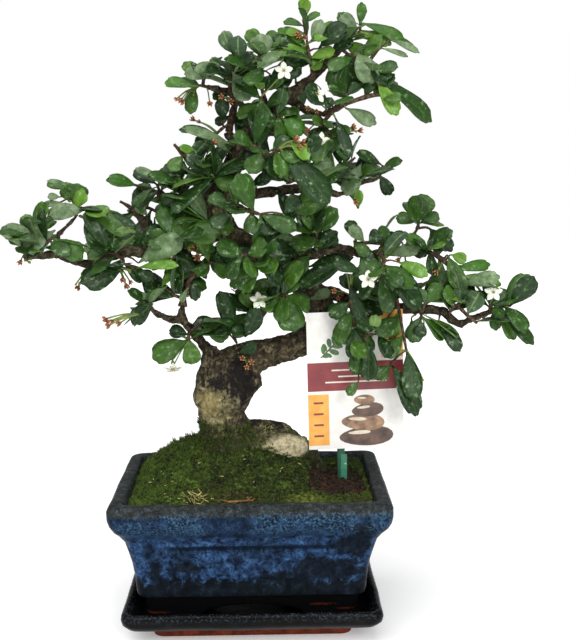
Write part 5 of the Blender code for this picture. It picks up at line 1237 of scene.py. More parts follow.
def thicken(work, offset):
    """Give an open sheet its thickness, as a closed body."""
    made = bmesh.ops.extrude_face_region(work, geom=work.faces[:])
    bmesh.ops.translate(work, vec=offset, verts=points_of(made))
    bmesh.ops.recalc_face_normals(work, faces=work.faces)


def grown_leaf(root, tip, width, facing, chance, fresh, tone=None):
    """One leaf as a small closed mesh, its values for colour kept at its points."""
    along = tip - root
    length = along.length
    along.normalize()
    side = along.cross(facing).normalized()
    up = side.cross(along).normalized()
    fold = chance.uniform(0.10, 0.34)
    cup = chance.uniform(-0.30, 0.06)
    arch = chance.uniform(0.03, 0.09)
    droop = chance.uniform(0.0, 0.10)
    wave = chance.uniform(0.0, 0.05)
    bend = chance.uniform(-0.05, 0.05)
    phase = chance.uniform(0, 6.28)
    shade = chance.random()
    tone = shade if tone is None else tone
    teeth = chance.uniform(0.0, 0.022)
    work = bmesh.new()
    layers = {key: work.verts.layers.float.new(key) for key in ("across", "along", "tone", "fresh")}
    bmesh.ops.create_grid(work, x_segments=LEAF_COLUMNS, y_segments=len(LEAF_ROWS) - 1, size=1)
    for vert in work.verts:
        s = vert.co.x
        row = round((vert.co.y + 1) / 2 * (len(LEAF_ROWS) - 1))
        t = LEAF_ROWS[row]
        half = max(leaf_half(t) * width * WIDER / 2, PETIOLE_HALF if t < 0.3 else 0)
        if t > 0.9:
            t += teeth * (1 if abs(abs(s) - 0.5) < 0.1 else -1) - 0.03 * s * s
        t = min(t, 1.0)
        lift = abs(s) * half * fold + s * s * half * cup + arch * length * 4 * t * (1 - t)
        lift += (half * wave * math.sin(t * 9 + phase + s * 2) * abs(s) * 2
                 - droop * length * max(t - 0.6, 0) ** 2)
        vert.co = (root + along * (t * length) + side * (s * half + bend * length * t * (1 - t) * 2)
                   + up * lift)
        vert[layers["across"]] = s
        vert[layers["along"]] = t
        vert[layers["tone"]] = tone
        vert[layers["fresh"]] = fresh
    thicken(work, up * -LEAF_THICK)
    for face in work.faces:
        face.material_index = TOP if face.normal.dot(up) > -0.1 else UNDER
    return work


BOX_MARGIN = 0.15          # small parts stay this far inside the solids' own box


def add_to(whole, part):
    """Join a finished small mesh to a shoot's mesh, moved in where it would leave the solids' box."""
    for k in range(3):
        low = solid_box[0][k] / MM + BOX_MARGIN - min(vert.co[k] for vert in part.verts)
        high = solid_box[1][k] / MM - BOX_MARGIN - max(vert.co[k] for vert in part.verts)
        if low > 0 or high < 0:
            for vert in part.verts:
                vert.co[k] += low if low > 0 else high
    join(whole, part)


def coloured(points, slot):
    """Give the faces on these points one of the piece's finishes."""
    for face in {face for vert in points for face in vert.link_faces}:
        face.material_index = slot


def limb(path, sides, slot, knobby=0.0):
    """A round twig or stalk drawn along (x, y, z, radius) points, closed at both ends."""
    work = bmesh.new()
    spot = work.verts.layers.float.new("spot")
    ring = bmesh.ops.create_circle(work, cap_ends=True, segments=sides, radius=1)["verts"]
    for k, vert in enumerate(ring):
        vert[spot] = k
    rim = work.edges[:]
    points = [Vector(p[:3]) for p in path]
    for k, point in enumerate(points):
        if k:
            rim, ring = drawn_on(work, rim)
        run = points[min(k + 1, len(points) - 1)] - points[max(k - 1, 0)]
        turn = run.to_track_quat("Z", "Y")
        radius = path[k][3] * (1 + knobby * noise.noise(point * 0.9))
        for vert in ring:
            angle = 2 * math.pi * vert[spot] / sides
            vert.co = point + turn @ Vector((math.cos(angle), math.sin(angle), 0)) * radius
    bmesh.ops.contextual_create(work, geom=rim)
    bmesh.ops.recalc_face_normals(work, faces=work.faces)
    coloured(work.verts, slot)
    return work


def rounded(path, step=2.2):
    """The path with points between its corners, on a smooth line through them."""
    out = []
    ends = [path[0], *path, path[-1]]
    for a, b, c, d in zip(ends, ends[1:], ends[2:], ends[3:]):
        count = max(int((Vector(c[:3]) - Vector(b[:3])).length / step), 1)
        for k in range(count):
            t = k / count
            out.append(tuple(0.5 * (2 * q + (r - p) * t + (2 * p - 5 * q + 4 * r - s) * t * t
                                    + (3 * q - p - 3 * r + s) * t ** 3)
                             for p, q, r, s in zip(a, b, c, d)))
    return out + [path[-1]]


PETAL_ROWS = [(0.6, 0.6), (1.7, 1.3), (2.9, 1.85), (4.0, 1.6), (5.0, 0.85), (5.7, 0.12)]
BLOOM_LENGTH = 4.6


def dressed_bloom(throat, axis, chance):
    """A white bloom: five spread lobes on a short tube, five stamens in its throat."""
    work = bmesh.new()
    seat = seated_at(throat, axis)
    for lobe in range(5):
        made = bmesh.ops.create_grid(work, x_segments=2, y_segments=len(PETAL_ROWS) - 1, size=1)["verts"]
        curl = chance.uniform(-0.5, 0.5)
        for vert in made:
            out, half = PETAL_ROWS[round((vert.co.y + 1) / 2 * (len(PETAL_ROWS) - 1))]
            cup = 0.35 * abs(vert.co.x) - 0.02 * out * out * (1 + curl) + 0.55
            vert.co = Vector((vert.co.x * half, out, cup))
        spin = Matrix.Rotation(lobe * 2 * math.pi / 5, 4, "Z")
        bmesh.ops.transform(work, matrix=seat @ spin, verts=made)
    thicken(work, axis * -0.3)
    coloured(work.verts, PETAL)
    tube = lifted(0.2 - BLOOM_LENGTH / 2)
    coloured(rod(work, 10, 0.75, 1.25, BLOOM_LENGTH - 0.1, seat @ tube), PETAL)
    for k in range(5):
        spin = Matrix.Rotation((k + 0.5) * 2 * math.pi / 5, 4, "Z")
        lean = spin @ Matrix.Rotation(0.5, 4, "X") @ lifted(1.2)
        made = rod(work, 4, 0.16, 0.1, 2.4, seat @ lean)
        made += bmesh.ops.create_icosphere(work, subdivisions=1, radius=0.36,
                                           matrix=seat @ lean @ lifted(1.3))["verts"]
        coloured(made, ANTHER)
    cup = rod(work, 6, 0.7, 1.5, 1.8, seat @ lifted(0.7 - BLOOM_LENGTH))
    coloured(cup, GREEN)
    return work


def dried_cup(place, run, size=1.0):
    """The dried cup that a fallen flower leaves on its stalk, its tips curled out."""
    work = bmesh.new()
    height = work.verts.layers.float.new("height")
    seat = seated_at(place, run) @ Matrix.Scale(size, 4)
    rod(work, 8, 0.6, 1.45, 2.0, seat @ lifted(0.4))
    for k in range(5):
        spin = Matrix.Rotation(k * 2 * math.pi / 5, 4, "Z")
        lean = spin @ Matrix.Translation((0, 0.9, 1.0)) @ Matrix.Rotation(-0.42 - 0.2 * (k % 2), 4, "X")
        rod(work, 4, 0.85, 0.3, 1.9, seat @ lean @ lifted(0.8))
    for vert in work.verts:
        vert[height] = min(max((seat.inverted() @ vert.co).z / 3, 0), 1)
    coloured(work.verts, DRIED)
    return work


def bud(place, run, chance):
    """An unopened flower, pale green and egg shaped on its stalk."""
    work = bmesh.new()
    shape = Matrix.Diagonal((0.85, 0.85, 1.35, 1)) @ Matrix.Scale(chance.uniform(0.8, 1.2), 4)
    bmesh.ops.create_icosphere(work, subdivisions=1, radius=1, matrix=seated_at(place, run) @ shape)
    coloured(work.verts, GREEN)
    return work


bark_twig = Finish("twig_bark", Roughness=0.85, Specular_IOR_Level=0.25)
flake = bark_twig.grain(1.6, 4)
bark_twig.coat(Base_Color=flake.steps((0.3, (38, 28, 24)), (0.5, (74, 56, 44)), (0.7, (116, 96, 74))))
bark_twig.relief(flake, 0.3)


def leaf_finish(name, dark, light, fresh_dark, fresh_light, rib, roughness, rib_share):
    """Leaf skin: deep or fresh green by leaf, a grey lime film with painted sheen, a paler rib, faint
    veins, fine pale dots and painted highlight spots.
    """
    leaf = Finish(name, Specular_IOR_Level=0.27)
    cloud = leaf.grain(7, 3)
    blotch = leaf.grain(3.4, 4, 0.65)
    tone = leaf.stored("tone") + (cloud - 0.5) * 0.9
    green = tone.level(0, 1).blend(dark, light)
    young = tone.level(0, 1).blend(fresh_dark, fresh_light)
    # Grey-green lime film on some leaves, which also stands as painted sheen.
    film = leaf.stored("tone").level(1.0, 1.5) * cloud.level(0.25, 0.7, 0.25, 0.7)
    green = film.blend(green, (136, 154, 120))
    green = leaf.stored("fresh").blend(green, young)
    across = abs(leaf.stored("across"))
    veins = (leaf.stored("along") * 34 - across * 6.5).sine().level(0.72, 1.0)
    green = (veins * 0.07).blend(green, rib)
    ribbed = across.level(0.03, 0.13, rib_share, 0.0)
    green = ribbed.blend(green, rib)
    green = leaf.cells(1.5).level(0.14, 0.24, 0.28, 0.0).blend(green, rib)
    green = blotch.level(0.52, 0.36, 0, 0.38).blend(green, dark)
    sheen = blotch.level(0.55, 0.68, 0, 0.6) * cloud.level(0.38, 0.54)
    green = sheen.blend(green, (150, 176, 138))
    leaf.coat(Base_Color=green, Roughness=blotch.level(0.35, 0.65, roughness + 0.1, roughness - 0.06))
    leaf.relief(ribbed + veins * 0.35, -0.18, 0.5)
    leaf.relief(cloud, 0.3, 0.5)
    leaf.relief(blotch, 0.16, 0.5)
    return leaf


leaf_top = leaf_finish("leaf_top", (19, 45, 13), (55, 92, 31), (66, 120, 26), (124, 170, 52),
                       (104, 138, 78), 0.34, 0.13)
leaf_under = leaf_finish("leaf_under", (58, 84, 56), (88, 114, 76), (96, 134, 60),
                         (140, 168, 90), (150, 170, 120), 0.6, 0.6)
stalk_green = plain("stalk_green", 6, (70, 96, 40), (136, 148, 72), Roughness=0.6)
dried = Finish("dried_cup", Roughness=0.75)
cup_colour = dried.grain(1.8).steps((0.3, (82, 40, 30)), (0.5, (128, 70, 46)), (0.7, (172, 112, 74)))
# Painted highlight: paler towards the curled tips.
dried.coat(Base_Color=dried.stored("height").level(0.45, 1.0).blend(cup_colour, (206, 150, 96)))
petal = plain("petal", 2.5, (236, 238, 214), (252, 252, 238), Roughness=0.55,
              Subsurface_Weight=0.15, Subsurface_Scale=0.001)
anther = plain("anther", 0.8, (150, 140, 96), (214, 206, 160), Roughness=0.6)
SHOOT_FINISHES = [bark_twig, leaf_top, leaf_under, stalk_green, dried, petal, anther]

# Share of young green: whole shoots, and single leaves by their place in the table
FRESH_SHOOTS = {"crown_shoot": 0.5, "apex_up": 0.4, "crown_middle": 0.3, "left_tip": 0.25}
FRESH_LEAVES = {("crown_left", 0): 0.9, ("left_main_near", 1): 0.8,
                ("upper_tip", 1): 0.7, ("crown_front", 2): 0.7, ("left_knob", 0): 0.6,
                ("crown_left", 2): 0.5, ("left_upper_tip", 0): 0.5, ("upper_tip", 0): 0.5}
# Blooms in one solid with their shoot, then blooms that are solids of their own
FUSED_FLOWERS = [("crown_hanging", (45, -20, 298), (0.3, -0.8, -0.3)),
                 ("right_tip", (152, -13, 204), (-0.2, -0.9, 0.4)),
                 ("left_low_hanging", (-48, -17, 159), (0.1, -0.5, -0.8))]
FLOWERS = {"crown": ("crown_front", (23, -27, 340), (0.15, -0.95, 0.25)),
           "apex": ("crown_twig_tip", (43, -22, 326), (0.2, -0.9, 0.3)),
           "right": ("right_front", (74, -47, 213), (-0.1, -0.95, 0.3)),
           "middle": ("rising_tip", (6, -20, 201), (0.2, -0.85, 0.45))}


def hung_bloom(whole, shoot, throat, facing, chance, with_bloom):
    """A bloom's stalk from its twig, and the bloom itself where it belongs to the shoot."""
    axis = Vector(facing).normalized()
    throat = Vector(swayed([throat])[0])
    start = nearest_on(twigs_of[shoot], *as_seen(throat))
    back = throat - axis * (BLOOM_LENGTH - 0.3)
    path = [(*start, 0.5), (*(back - axis * 2.2), 0.42), (*back, 0.5)]
    add_to(whole, limb(rounded(path), 6, GREEN))
    if with_bloom:
        add_to(whole, dressed_bloom(throat, axis, chance))


def new_growth():
    """Empty mesh work with all the values that a shoot's finishes read."""
    work = bmesh.new()
    for key in ("across", "along", "tone", "fresh", "height"):
        work.verts.layers.float.new(key)
    return work


for name, plan in SHOOTS.items():
    chance = random.Random(name + " growth")
    shoot = new_growth()
    for number, route in enumerate(twigs_of[name]):
        start, following = runs_of(route)[0]
        run = (following - start).normalized()
        if number == 0:
            route = [(*(start - run * 2.2), route[0][3] * 1.25)] + list(route)
        add_to(shoot, limb(rounded(route), 7, TWIG, 0.45))
    for number, leaf in enumerate(leaves_of[name]):
        fresh = FRESH_SHOOTS.get(name, 0) + chance.uniform(0, 0.16)
        fresh = FRESH_LEAVES.get((name, number), fresh)
        add_to(shoot, grown_leaf(*leaf, chance, fresh))
    for leaf in between[name]:
        fresh = FRESH_SHOOTS.get(name, 0) * 0.6 + chance.choice((0, 0, 0.05, 0.1, 0.2, 0.4))
        add_to(shoot, grown_leaf(*leaf, chance, fresh))
    for flowering, throat, facing in FUSED_FLOWERS:
        if flowering == name:
            hung_bloom(shoot, name, throat, facing, chance, True)
    for flowering, throat, facing in FLOWERS.values():
        if flowering == name:
            hung_bloom(shoot, name, throat, facing, chance, False)
    for place in plan.get("calyxes", []):
        place = Vector(swayed([place])[0])
        start = nearest_on(twigs_of[name], *as_seen(place))
        run = (place - start).normalized()
        sag = start.lerp(place, 0.5) + Vector((0, 0, 1.2))
        add_to(shoot, limb(rounded([(*start, 0.45), (*sag, 0.4), (*place, 0.45)]), 5, GREEN))
        add_to(shoot, dried_cup(place, run))
    piece("leafy_" + name, shoot, SHOOT_FINISHES, replaced=["shoot_" + name])

for name, (shoot, throat, facing) in FLOWERS.items():
    bloom = dressed_bloom(Vector(swayed([throat])[0]), Vector(facing).normalized(), random.Random(name))
    piece("bloom_" + name, bloom, SHOOT_FINISHES, replaced=["flower_" + name])


# Spur leaves. Old wood also carries single leaves, dried cups and buds on short knobby spurs,
# all over its front, where they hide much of the branches.

# Tone and share of young green of a leaf: deep, middle, greyish with a lime film and painted sheen, fresh
D, M, G, F = (0.1, 0.0), (0.6, 0.1), (1.45, 0.0), (0.6, 0.75)
# (foot x, foot z, tip x, tip z, width, kind) as seen from the front, on the tree's middle plane
SPUR_LEAVES = [
    (17, 323, -1, 308, 15, D), (-8, 340, 2, 323, 12, G), (11, 347, 9, 362, 13, G), (34, 354, 16, 360, 7, D),
    (24, 352, 7, 342, 8, G), (37, 351, 22, 354, 5, F), (45, 354, 41, 340, 8, F), (30, 338, 17, 330, 9, D),
    (15, 338, 9, 329, 8, D), (-13, 344, -31, 341, 7, G), (-21, 337, -37, 339, 9, G),
    (-7, 315, 0, 299, 10, D), (19, 314, 20, 298, 8, M), (32, 319, 26, 302, 11, M), (26, 298, 38, 287, 9, F),
    (13, 302, 1, 280, 17, D), (22, 289, 17, 280, 4, G), (22, 292, 50, 260, 17, D),
    (41, 293, 48, 278, 11, G), (48, 280, 65, 270, 9, G), (70, 285, 60, 265, 11, G),
    (85, 280, 72, 280, 10, G), (43, 310, 52, 293, 10, D), (54, 312, 62, 288, 8, D),
    (67, 351, 77, 332, 13, G), (75, 347, 84, 331, 9, D), (79, 333, 92, 313, 9, F),
    (56, 345, 60, 324, 17, F), (56, 365, 41, 358, 7, F), (68, 361, 57, 373, 9, G),
    (87, 358, 105, 350, 4, G), (82, 353, 98, 348, 4, G), (-10, 314, -19, 309, 6, D),
    (-8, 296, -39, 307, 6, G), (-9, 291, -25, 304, 4, G), (-27, 288, -41, 296, 6, F),
    (-22, 279, -37, 291, 10, D), (-37, 281, -52, 281, 9, D), (-17, 276, -52, 254, 9, D),
    (-6, 289, -19, 278, 6, M), (18, 268, 29, 251, 8, D), (31, 264, 38, 249, 7, D), (42, 304, 52, 292, 9, M),
    (48, 317, 52, 324, 6, D), (8, 289, 18, 275, 9, D), (27, 249, 7, 244, 11, D), (32, 233, 11, 230, 15, D),
    (38, 229, 28, 217, 12, M), (63, 226, 32, 208, 13, D), (27, 211, 1, 208, 10, M),
    (40, 231, 55, 243, 10, D), (38, 232, 31, 264, 9, D), (34, 235, 14, 241, 9, G), (39, 243, 47, 256, 8, D),
    (19, 268, 30, 252, 10, D), (72, 236, 62, 246, 8, G), (74, 236, 82, 242, 9, D), (95, 236, 85, 240, 8, D),
    (74, 222, 94, 240, 9, F), (97, 240, 110, 227, 9, D), (86, 228, 106, 232, 8, G),
    (92, 224, 111, 215, 8, F), (111, 245, 126, 230, 10, D), (112, 244, 118, 228, 9, D),
    (112, 231, 114, 215, 8, D), (123, 228, 132, 206, 10, M), (125, 228, 135, 224, 7, F),
    (101, 189, 103, 174, 6, D), (109, 186, 105, 177, 8, D), (51, 202, 52, 176, 14, D),
    (51, 180, 40, 170, 8, M), (66, 183, 66, 162, 13, D), (75, 173, 74, 149, 11, D),
    (80, 179, 88, 164, 9, D), (88, 160, 105, 126, 13, D), (77, 179, 79, 191, 7, F),
    (88, 159, 79, 150, 9, M), (68, 149, 61, 140, 6, M), (63, 211, 72, 184, 9, D), (37, 201, 51, 206, 7, G),
    (132, 209, 156, 214, 9, G), (126, 200, 138, 201, 6, F), (71, 206, 56, 215, 9, D),
    (65, 237, 74, 227, 8, M), (-130, 244, -151, 245, 11, G), (-118, 246, -137, 233, 12, G),
    (-130, 244, -125, 262, 5, G), (-114, 266, -122, 266, 5, G), (-114, 263, -125, 261, 4, G),
    (-109, 263, -111, 272, 8, M), (-106, 259, -100, 271, 13, F), (-98, 258, -122, 255, 10, G),
    (-107, 272, -122, 276, 3, G), (-96, 258, -69, 243, 14, D), (-85, 240, -92, 253, 5, M),
    (-102, 227, -107, 239, 8, G), (-85, 235, -99, 228, 9, M), (-68, 225, -39, 239, 15, G),
    (-69, 222, -43, 223, 7, F), (-65, 238, -51, 244, 8, M), (-57, 253, -34, 249, 9, G),
    (-44, 243, -17, 243, 15, M), (-43, 234, -34, 219, 12, D), (-24, 234, 9, 224, 15, D),
    (-23, 232, -15, 218, 10, D), (25, 237, 16, 215, 14, D), (-10, 180, -18, 207, 12, D),
    (4, 205, -10, 196, 9, G), (-3, 178, 6, 196, 11, D), (-14, 181, -35, 187, 12, D),
    (-59, 202, -72, 187, 9, D), (-59, 203, -72, 205, 5, G), (-69, 220, -59, 215, 8, D),
    (-54, 210, -48, 218, 5, F), (-41, 218, -45, 207, 7, D), (-34, 215, -33, 201, 7, D),
    (-38, 209, -42, 200, 4, G), (-61, 254, -68, 261, 6, G), (-51, 275, -68, 283, 5, G),
    (-36, 279, -52, 282, 9, D), (-7, 168, 4, 173, 8, D), (-60, 263, -48, 264, 6, M),
    (-77, 221, -103, 213, 15, D), (13, 335, 34, 344, 14, D), (40, 344, 23, 348, 10, D),
    (11, 328, 23, 338, 9, M), (44, 353, 61, 367, 12, D), (40, 357, 46, 370, 9, G), (51, 351, 65, 358, 9, D),
    (-15, 311, -14, 324, 9, D), (-3, 346, -4, 361, 12, D), (60, 318, 79, 308, 9, G),
    (36, 221, 65, 227, 9, D), (70, 218, 52, 224, 8, D), (2, 272, 15, 278, 8, D), (68, 257, 67, 269, 7, F),
    (118, 186, 132, 167, 9, D), (51, 320, 36, 330, 13, D), (-17, 190, -18, 207, 7, D),
    (22, 254, 32, 265, 9, D), (31, 293, 46, 299, 10, D), (163, 195, 178, 214, 13, D),
]
# Dried cups (x, z, how many, size) and pale buds (x, z, how many), seen likewise
CUPS = [(-30, 310, 2, 1.1), (-40, 323, 2, 1.1), (-12, 323, 2, 1.3), (40, 316, 2, 1.2), (31, 297, 3, 1.3),
        (66, 304, 2, 1.2), (34, 360, 2, 1.2), (95, 224, 2, 1.2), (55, 204, 3, 1.1), (-31, 231, 4, 1.5),
        (-76, 214, 3, 1.3), (-87, 189, 3, 1.3), (-80, 188, 1, 1.2), (-2, 162, 3, 1.4)]
BUDS = [(6, 346, 3), (1, 344, 2), (40, 298, 3), (81, 357, 3), (88, 166, 2), (107, 148, 3), (63, 215, 3),
        (-136, 227, 3), (-97, 251, 3), (-105, 211, 2), (-75, 219, 3), (-31, 327, 2)]
STEM_STEP = 1.2
SPUR_REACH = 1.6           # a root nearer to the wood than this needs no spur

stems = []
for routes in twigs_of.values():
    for route in routes:
        for a, b in runs_of(route):
            count = max(int((b - a).length / STEM_STEP), 1)
            stems += [a.lerp(b, (k + 0.5) / count) for k in range(count)]
stems += [vert.co / MM for vert in wood_solid.vertices if vert.co.z > 0.15]


def spur_foot(x, z):
    """The point of twig or branch that something seen at (x, z) grows from, the foremost near it."""
    aim = (Vector((x, 0, z)) - EYE).normalized()
    hit = trunk_tree.ray_cast(EYE, aim)[0]
    if hit is not None:
        return hit
    target = Vector((x, z))
    return min(stems, key=lambda stem: (as_seen(stem) - target).length + 0.15 * stem.y)


def spur(whole, foot, end, slot):
    """The short stalk from a foot on the wood to where its leaf or cup starts."""
    if (end - foot).length < SPUR_REACH:
        return
    lift = Vector((0, -0.5, 0.8)) * min((end - foot).length * 0.12, 1.5)
    middle = foot.lerp(end, 0.5) + lift
    add_to(whole, limb(rounded([(*foot, 0.8), (*middle, 0.6), (*end, 0.5)]), 5, slot, 0.3))


spurs = new_growth()
chance = random.Random("spurs")
for foot_x, foot_z, tip_x, tip_z, width, (tone, fresh) in SPUR_LEAVES:
    foot = spur_foot(foot_x, foot_z)
    root = at_depth(foot_x, foot_z, foot.y - chance.uniform(0.3, 3.0))
    far = (as_seen(foot) - Vector((foot_x, foot_z))).length
    spur(spurs, foot, root, TWIG if far > 4 else GREEN)
    reach = math.hypot(tip_x - foot_x, tip_z - foot_z)
    tip = at_depth(tip_x, tip_z, root.y - chance.uniform(0.0, 0.55) * reach)
    facing = Vector((chance.uniform(-0.5, 0.5), -0.9, chance.uniform(0.1, 0.7)))
    add_to(spurs, grown_leaf(root, tip, width, facing, chance, fresh, tone + chance.uniform(-0.1, 0.1)))
for x, z, count, size in CUPS:
    foot = spur_foot(x, z)
    for k in range(count):
        turned = 2.4 * k
        spread = 0.0 if count == 1 else 1.9 * size
        place = at_depth(x + math.cos(turned) * spread, z + math.sin(turned) * spread, foot.y - 4 - k)
        spur(spurs, foot, place, GREEN)
        run = place - foot + Vector((chance.uniform(-2, 2), -1, chance.uniform(-1, 2)))
        add_to(spurs, dried_cup(place, run.normalized(), size * chance.uniform(0.6, 0.95)))
for x, z, count in BUDS:
    foot = spur_foot(x, z)
    for k in range(count):
        place = at_depth(x + chance.uniform(-2.2, 2.2), z + chance.uniform(-2.2, 2.2), foot.y - 3)
        spur(spurs, foot, place, GREEN)
        add_to(spurs, bud(place, (place - foot).normalized(), chance))
piece("spur_leaves", spurs, SHOOT_FINISHES)


# Label stick. An injection-moulded green plastic stick with a pointed foot, a rib down its
# back and a raised edge down its front, painted lighter as a highlight on the stick's lit side,
# pushed into the soil; a hook at its top grips the card.
CARD_WIDTH, CARD_HEIGHT, CARD_THICK = 59.5, 86.5, 0.6
CARD_LEAN = math.radians(1.8)
CARD_CORNER = Vector((36.4, -8.0, 107.2))     # lower left corner
STAKE_X, STAKE_WIDTH, STAKE_THICK, STAKE_FOOT = 56.4, 8.0, 2.4, 48.0
STAKE_POINT = 9.0          # the foot narrows to a point over this height
HAIR = 0.3                 # play between stick and card
STICK, LIT_EDGE, NICK = range(3)     # its finishes, in their order


def bar(work, low, high, bevel, slot=STICK):
    """A moulded bar between two corners, its edges rounded."""
    middle = [(a + b) / 2 for a, b in zip(low, high)]
    size = [b - a for a, b in zip(low, high)]
    matrix = Matrix.Translation(middle) @ Matrix.Diagonal((*size, 1))
    made = bmesh.ops.create_cube(work, size=1, matrix=matrix)["verts"]
    edges = list({edge for vert in made for edge in vert.link_edges})
    coloured(made, slot)
    bmesh.ops.bevel(work, geom=edges, offset=bevel, offset_type="OFFSET", segments=2, profile=0.5,
                    affect="EDGES", material=-1)


stake_work = bmesh.new()
front = CARD_CORNER.y + CARD_THICK + HAIR
stake_low = (STAKE_X - STAKE_WIDTH / 2, front, STAKE_FOOT)
stake_top = CARD_CORNER.z + CARD_HEIGHT + 4.5
bar(stake_work, stake_low, (STAKE_X + STAKE_WIDTH / 2, front + STAKE_THICK, stake_top), 0.35)
for vert in stake_work.verts:
    if vert.co.z < STAKE_FOOT + 2:
        vert.co.x = STAKE_X + (vert.co.x - STAKE_X) * 0.3
bmesh.ops.bisect_plane(stake_work, geom=stake_work.verts[:] + stake_work.edges[:] + stake_work.faces[:],
                       plane_co=(0, 0, STAKE_FOOT + STAKE_POINT), plane_no=(0, 0, 1))
for vert in stake_work.verts:
    if abs(vert.co.z - STAKE_FOOT - STAKE_POINT) < 0.01:
        vert.co.x = STAKE_X + (vert.co.x - STAKE_X) * 1.08
        vert.co.x = min(max(vert.co.x, stake_low[0]), STAKE_X + STAKE_WIDTH / 2)
card_edge = CARD_CORNER.z + CARD_HEIGHT + (STAKE_X - CARD_CORNER.x) * math.sin(CARD_LEAN)
bar(stake_work, (STAKE_X - 0.7, front + STAKE_THICK - 0.2, 96),
    (STAKE_X + 0.7, front + STAKE_THICK + 0.9, card_edge - 3), 0.2)
bar(stake_work, (STAKE_X - 3, CARD_CORNER.y - HAIR - 1.0, card_edge + 0.6),
    (STAKE_X + 3, front + 0.5, card_edge + 2.4), 0.25)
bar(stake_work, (STAKE_X - 2.98, CARD_CORNER.y - HAIR - 0.98, card_edge - 3.5),
    (STAKE_X + 2.98, CARD_CORNER.y - HAIR, card_edge + 2.3), 0.25)
# The raised edge, its lighter green a painted highlight of the stick's lit side.
bar(stake_work, (STAKE_X - 0.1, front - 0.25, STAKE_FOOT + 12), (STAKE_X + 3.7, front + 0.3, 104),
    0.1, LIT_EDGE)
bar(stake_work, (STAKE_X + 2.2, front - 0.5, 97.6), (STAKE_X + 3.4, front + 0.1, 98.3), 0.1, NICK)
stake_dark = plain("stake_green", 5, (14, 62, 46), (26, 86, 64), Roughness=0.42)
stake_dark.relief(stake_dark.grain(0.9), 0.05)
stake_lit = plain("stake_lit_side", 5, (34, 104, 78), (58, 132, 102), Roughness=0.4)
stake_nick = plain("stake_nick", 1, (150, 200, 176), (190, 222, 206), Roughness=0.5)
piece("label_stick", stake_work, [stake_dark, stake_lit, stake_nick],
      replaced=["label_stake"])


# Label card. Printed board with a thin film over it, held by the stick. Its print is a plain
# design: a leafy sprig over a dark red band with ruled lines, orange strips and stacked pebbles.
INK_DEPTH = 0.04
PAPER, ORANGE, MAROON, GREEN_INK, STEM_INK, BRONZE, UMBER, SHINE, CREAM = range(9)     # inks in order


def on_card(u, v, lift):
    """A point of the card from its lower left corner, lift mm before its face."""
    x = CARD_CORNER.x + u * math.cos(CARD_LEAN) - v * math.sin(CARD_LEAN) * 0.5
    z = CARD_CORNER.z + v * math.cos(CARD_LEAN) + u * math.sin(CARD_LEAN)
    return Vector((x, CARD_CORNER.y - lift, z))


def printed(work, outline, ink, layer):
    """A flat printed shape: a ring of (u, v) filled and given the ink's thickness."""
    ring = bmesh.ops.create_circle(work, cap_ends=True, segments=len(outline), radius=1)["verts"]
    for vert, (u, v) in zip(ring, outline):
        vert.co = on_card(u, v, 0.002)
    raised = points_of(bmesh.ops.extrude_face_region(work, geom=ring[0].link_faces[:]))
    bmesh.ops.translate(work, vec=(0, -INK_DEPTH * layer, 0), verts=raised)
    coloured(ring + raised, ink)


def oblong(u0, v0, u1, v1):
    return [(u0, v0), (u1, v0), (u1, v1), (u0, v1)]


def oval(u, v, wide, high, turn=0.0, count=20):
    """Points of an egg-shaped ring round (u, v)."""
    points = []
    for k in range(count):
        a = 2 * math.pi * k / count
        x, y = wide * math.cos(a), high * math.sin(a) * (1 + 0.15 * math.cos(a))
        points.append((u + x * math.cos(turn) - y * math.sin(turn),
                       v + x * math.sin(turn) + y * math.cos(turn)))
    return points


card_work = bmesh.new()
made = bmesh.ops.create_cube(card_work, size=1)["verts"]
coloured(made, PAPER)
for vert in made:
    u, v = (vert.co.x + 0.5) * CARD_WIDTH, (vert.co.z + 0.5) * CARD_HEIGHT
    vert.co = on_card(u, v, -CARD_THICK if vert.co.y > 0 else 0)
printed(card_work, oblong(0, 37, CARD_WIDTH, 55), MAROON, 1)
for v, short in ((49.5, 14), (45.5, 6), (42, 22)):
    printed(card_work, oblong(30 - short / 2 - 8, v, 30 + short / 2 + 8, v + 0.9), CREAM, 2)
printed(card_work, oblong(46, 57, CARD_WIDTH, CARD_HEIGHT), ORANGE, 1)
printed(card_work, oblong(0, 2.5, 13, 35), ORANGE, 1)
for v in (62, 70, 78):
    printed(card_work, oval(52.8, v, 2.6, 2.6, 0, 16), MAROON, 2)
    printed(card_work, oval(52.8, v, 1.5, 1.5, 0, 16), ORANGE, 3)
for v in (8, 15, 22, 29):
    printed(card_work, oblong(3.5, v, 9.5, v + 1.2), MAROON, 2)
SPRIG_LEAVES = 26
sprig = random.Random("sprig")
printed(card_work, [(8, 58), (9, 58), (24, 72), (36, 84), (35.4, 84.4), (23, 73)], STEM_INK, 1)
for k in range(SPRIG_LEAVES):
    share = k / (SPRIG_LEAVES - 1)
    u, v = 9 + 27 * share, 59 + 24.5 * share
    side = 1 if k % 2 else -1
    turn = 0.75 + side * sprig.uniform(0.6, 1.3)
    reach = sprig.uniform(3.2, 5.2)
    u, v = u + math.cos(turn) * reach * 0.8, v + math.sin(turn) * reach * 0.8
    u, v = min(max(u, 4), 42), min(max(v, 58.5), 83)
    printed(card_work, oval(u, v, reach * 0.72, reach * 0.36, turn, 12), GREEN_INK, 2 + k % 3)
for u, v, wide, high, turn, ink, layer in (
        (36, 7.5, 17, 6.2, 0.03, UMBER, 1), (34, 16.5, 13.5, 5.4, -0.06, BRONZE, 2),
        (37, 24.2, 10, 4.4, 0.08, UMBER, 3), (35, 30.6, 6.5, 3.2, -0.05, BRONZE, 4)):
    printed(card_work, oval(u, v, wide, high, turn), ink, layer)
    printed(card_work, oval(u - wide * 0.25, v + high * 0.4, wide * 0.42, high * 0.2, turn, 12),
            SHINE, layer + 2)
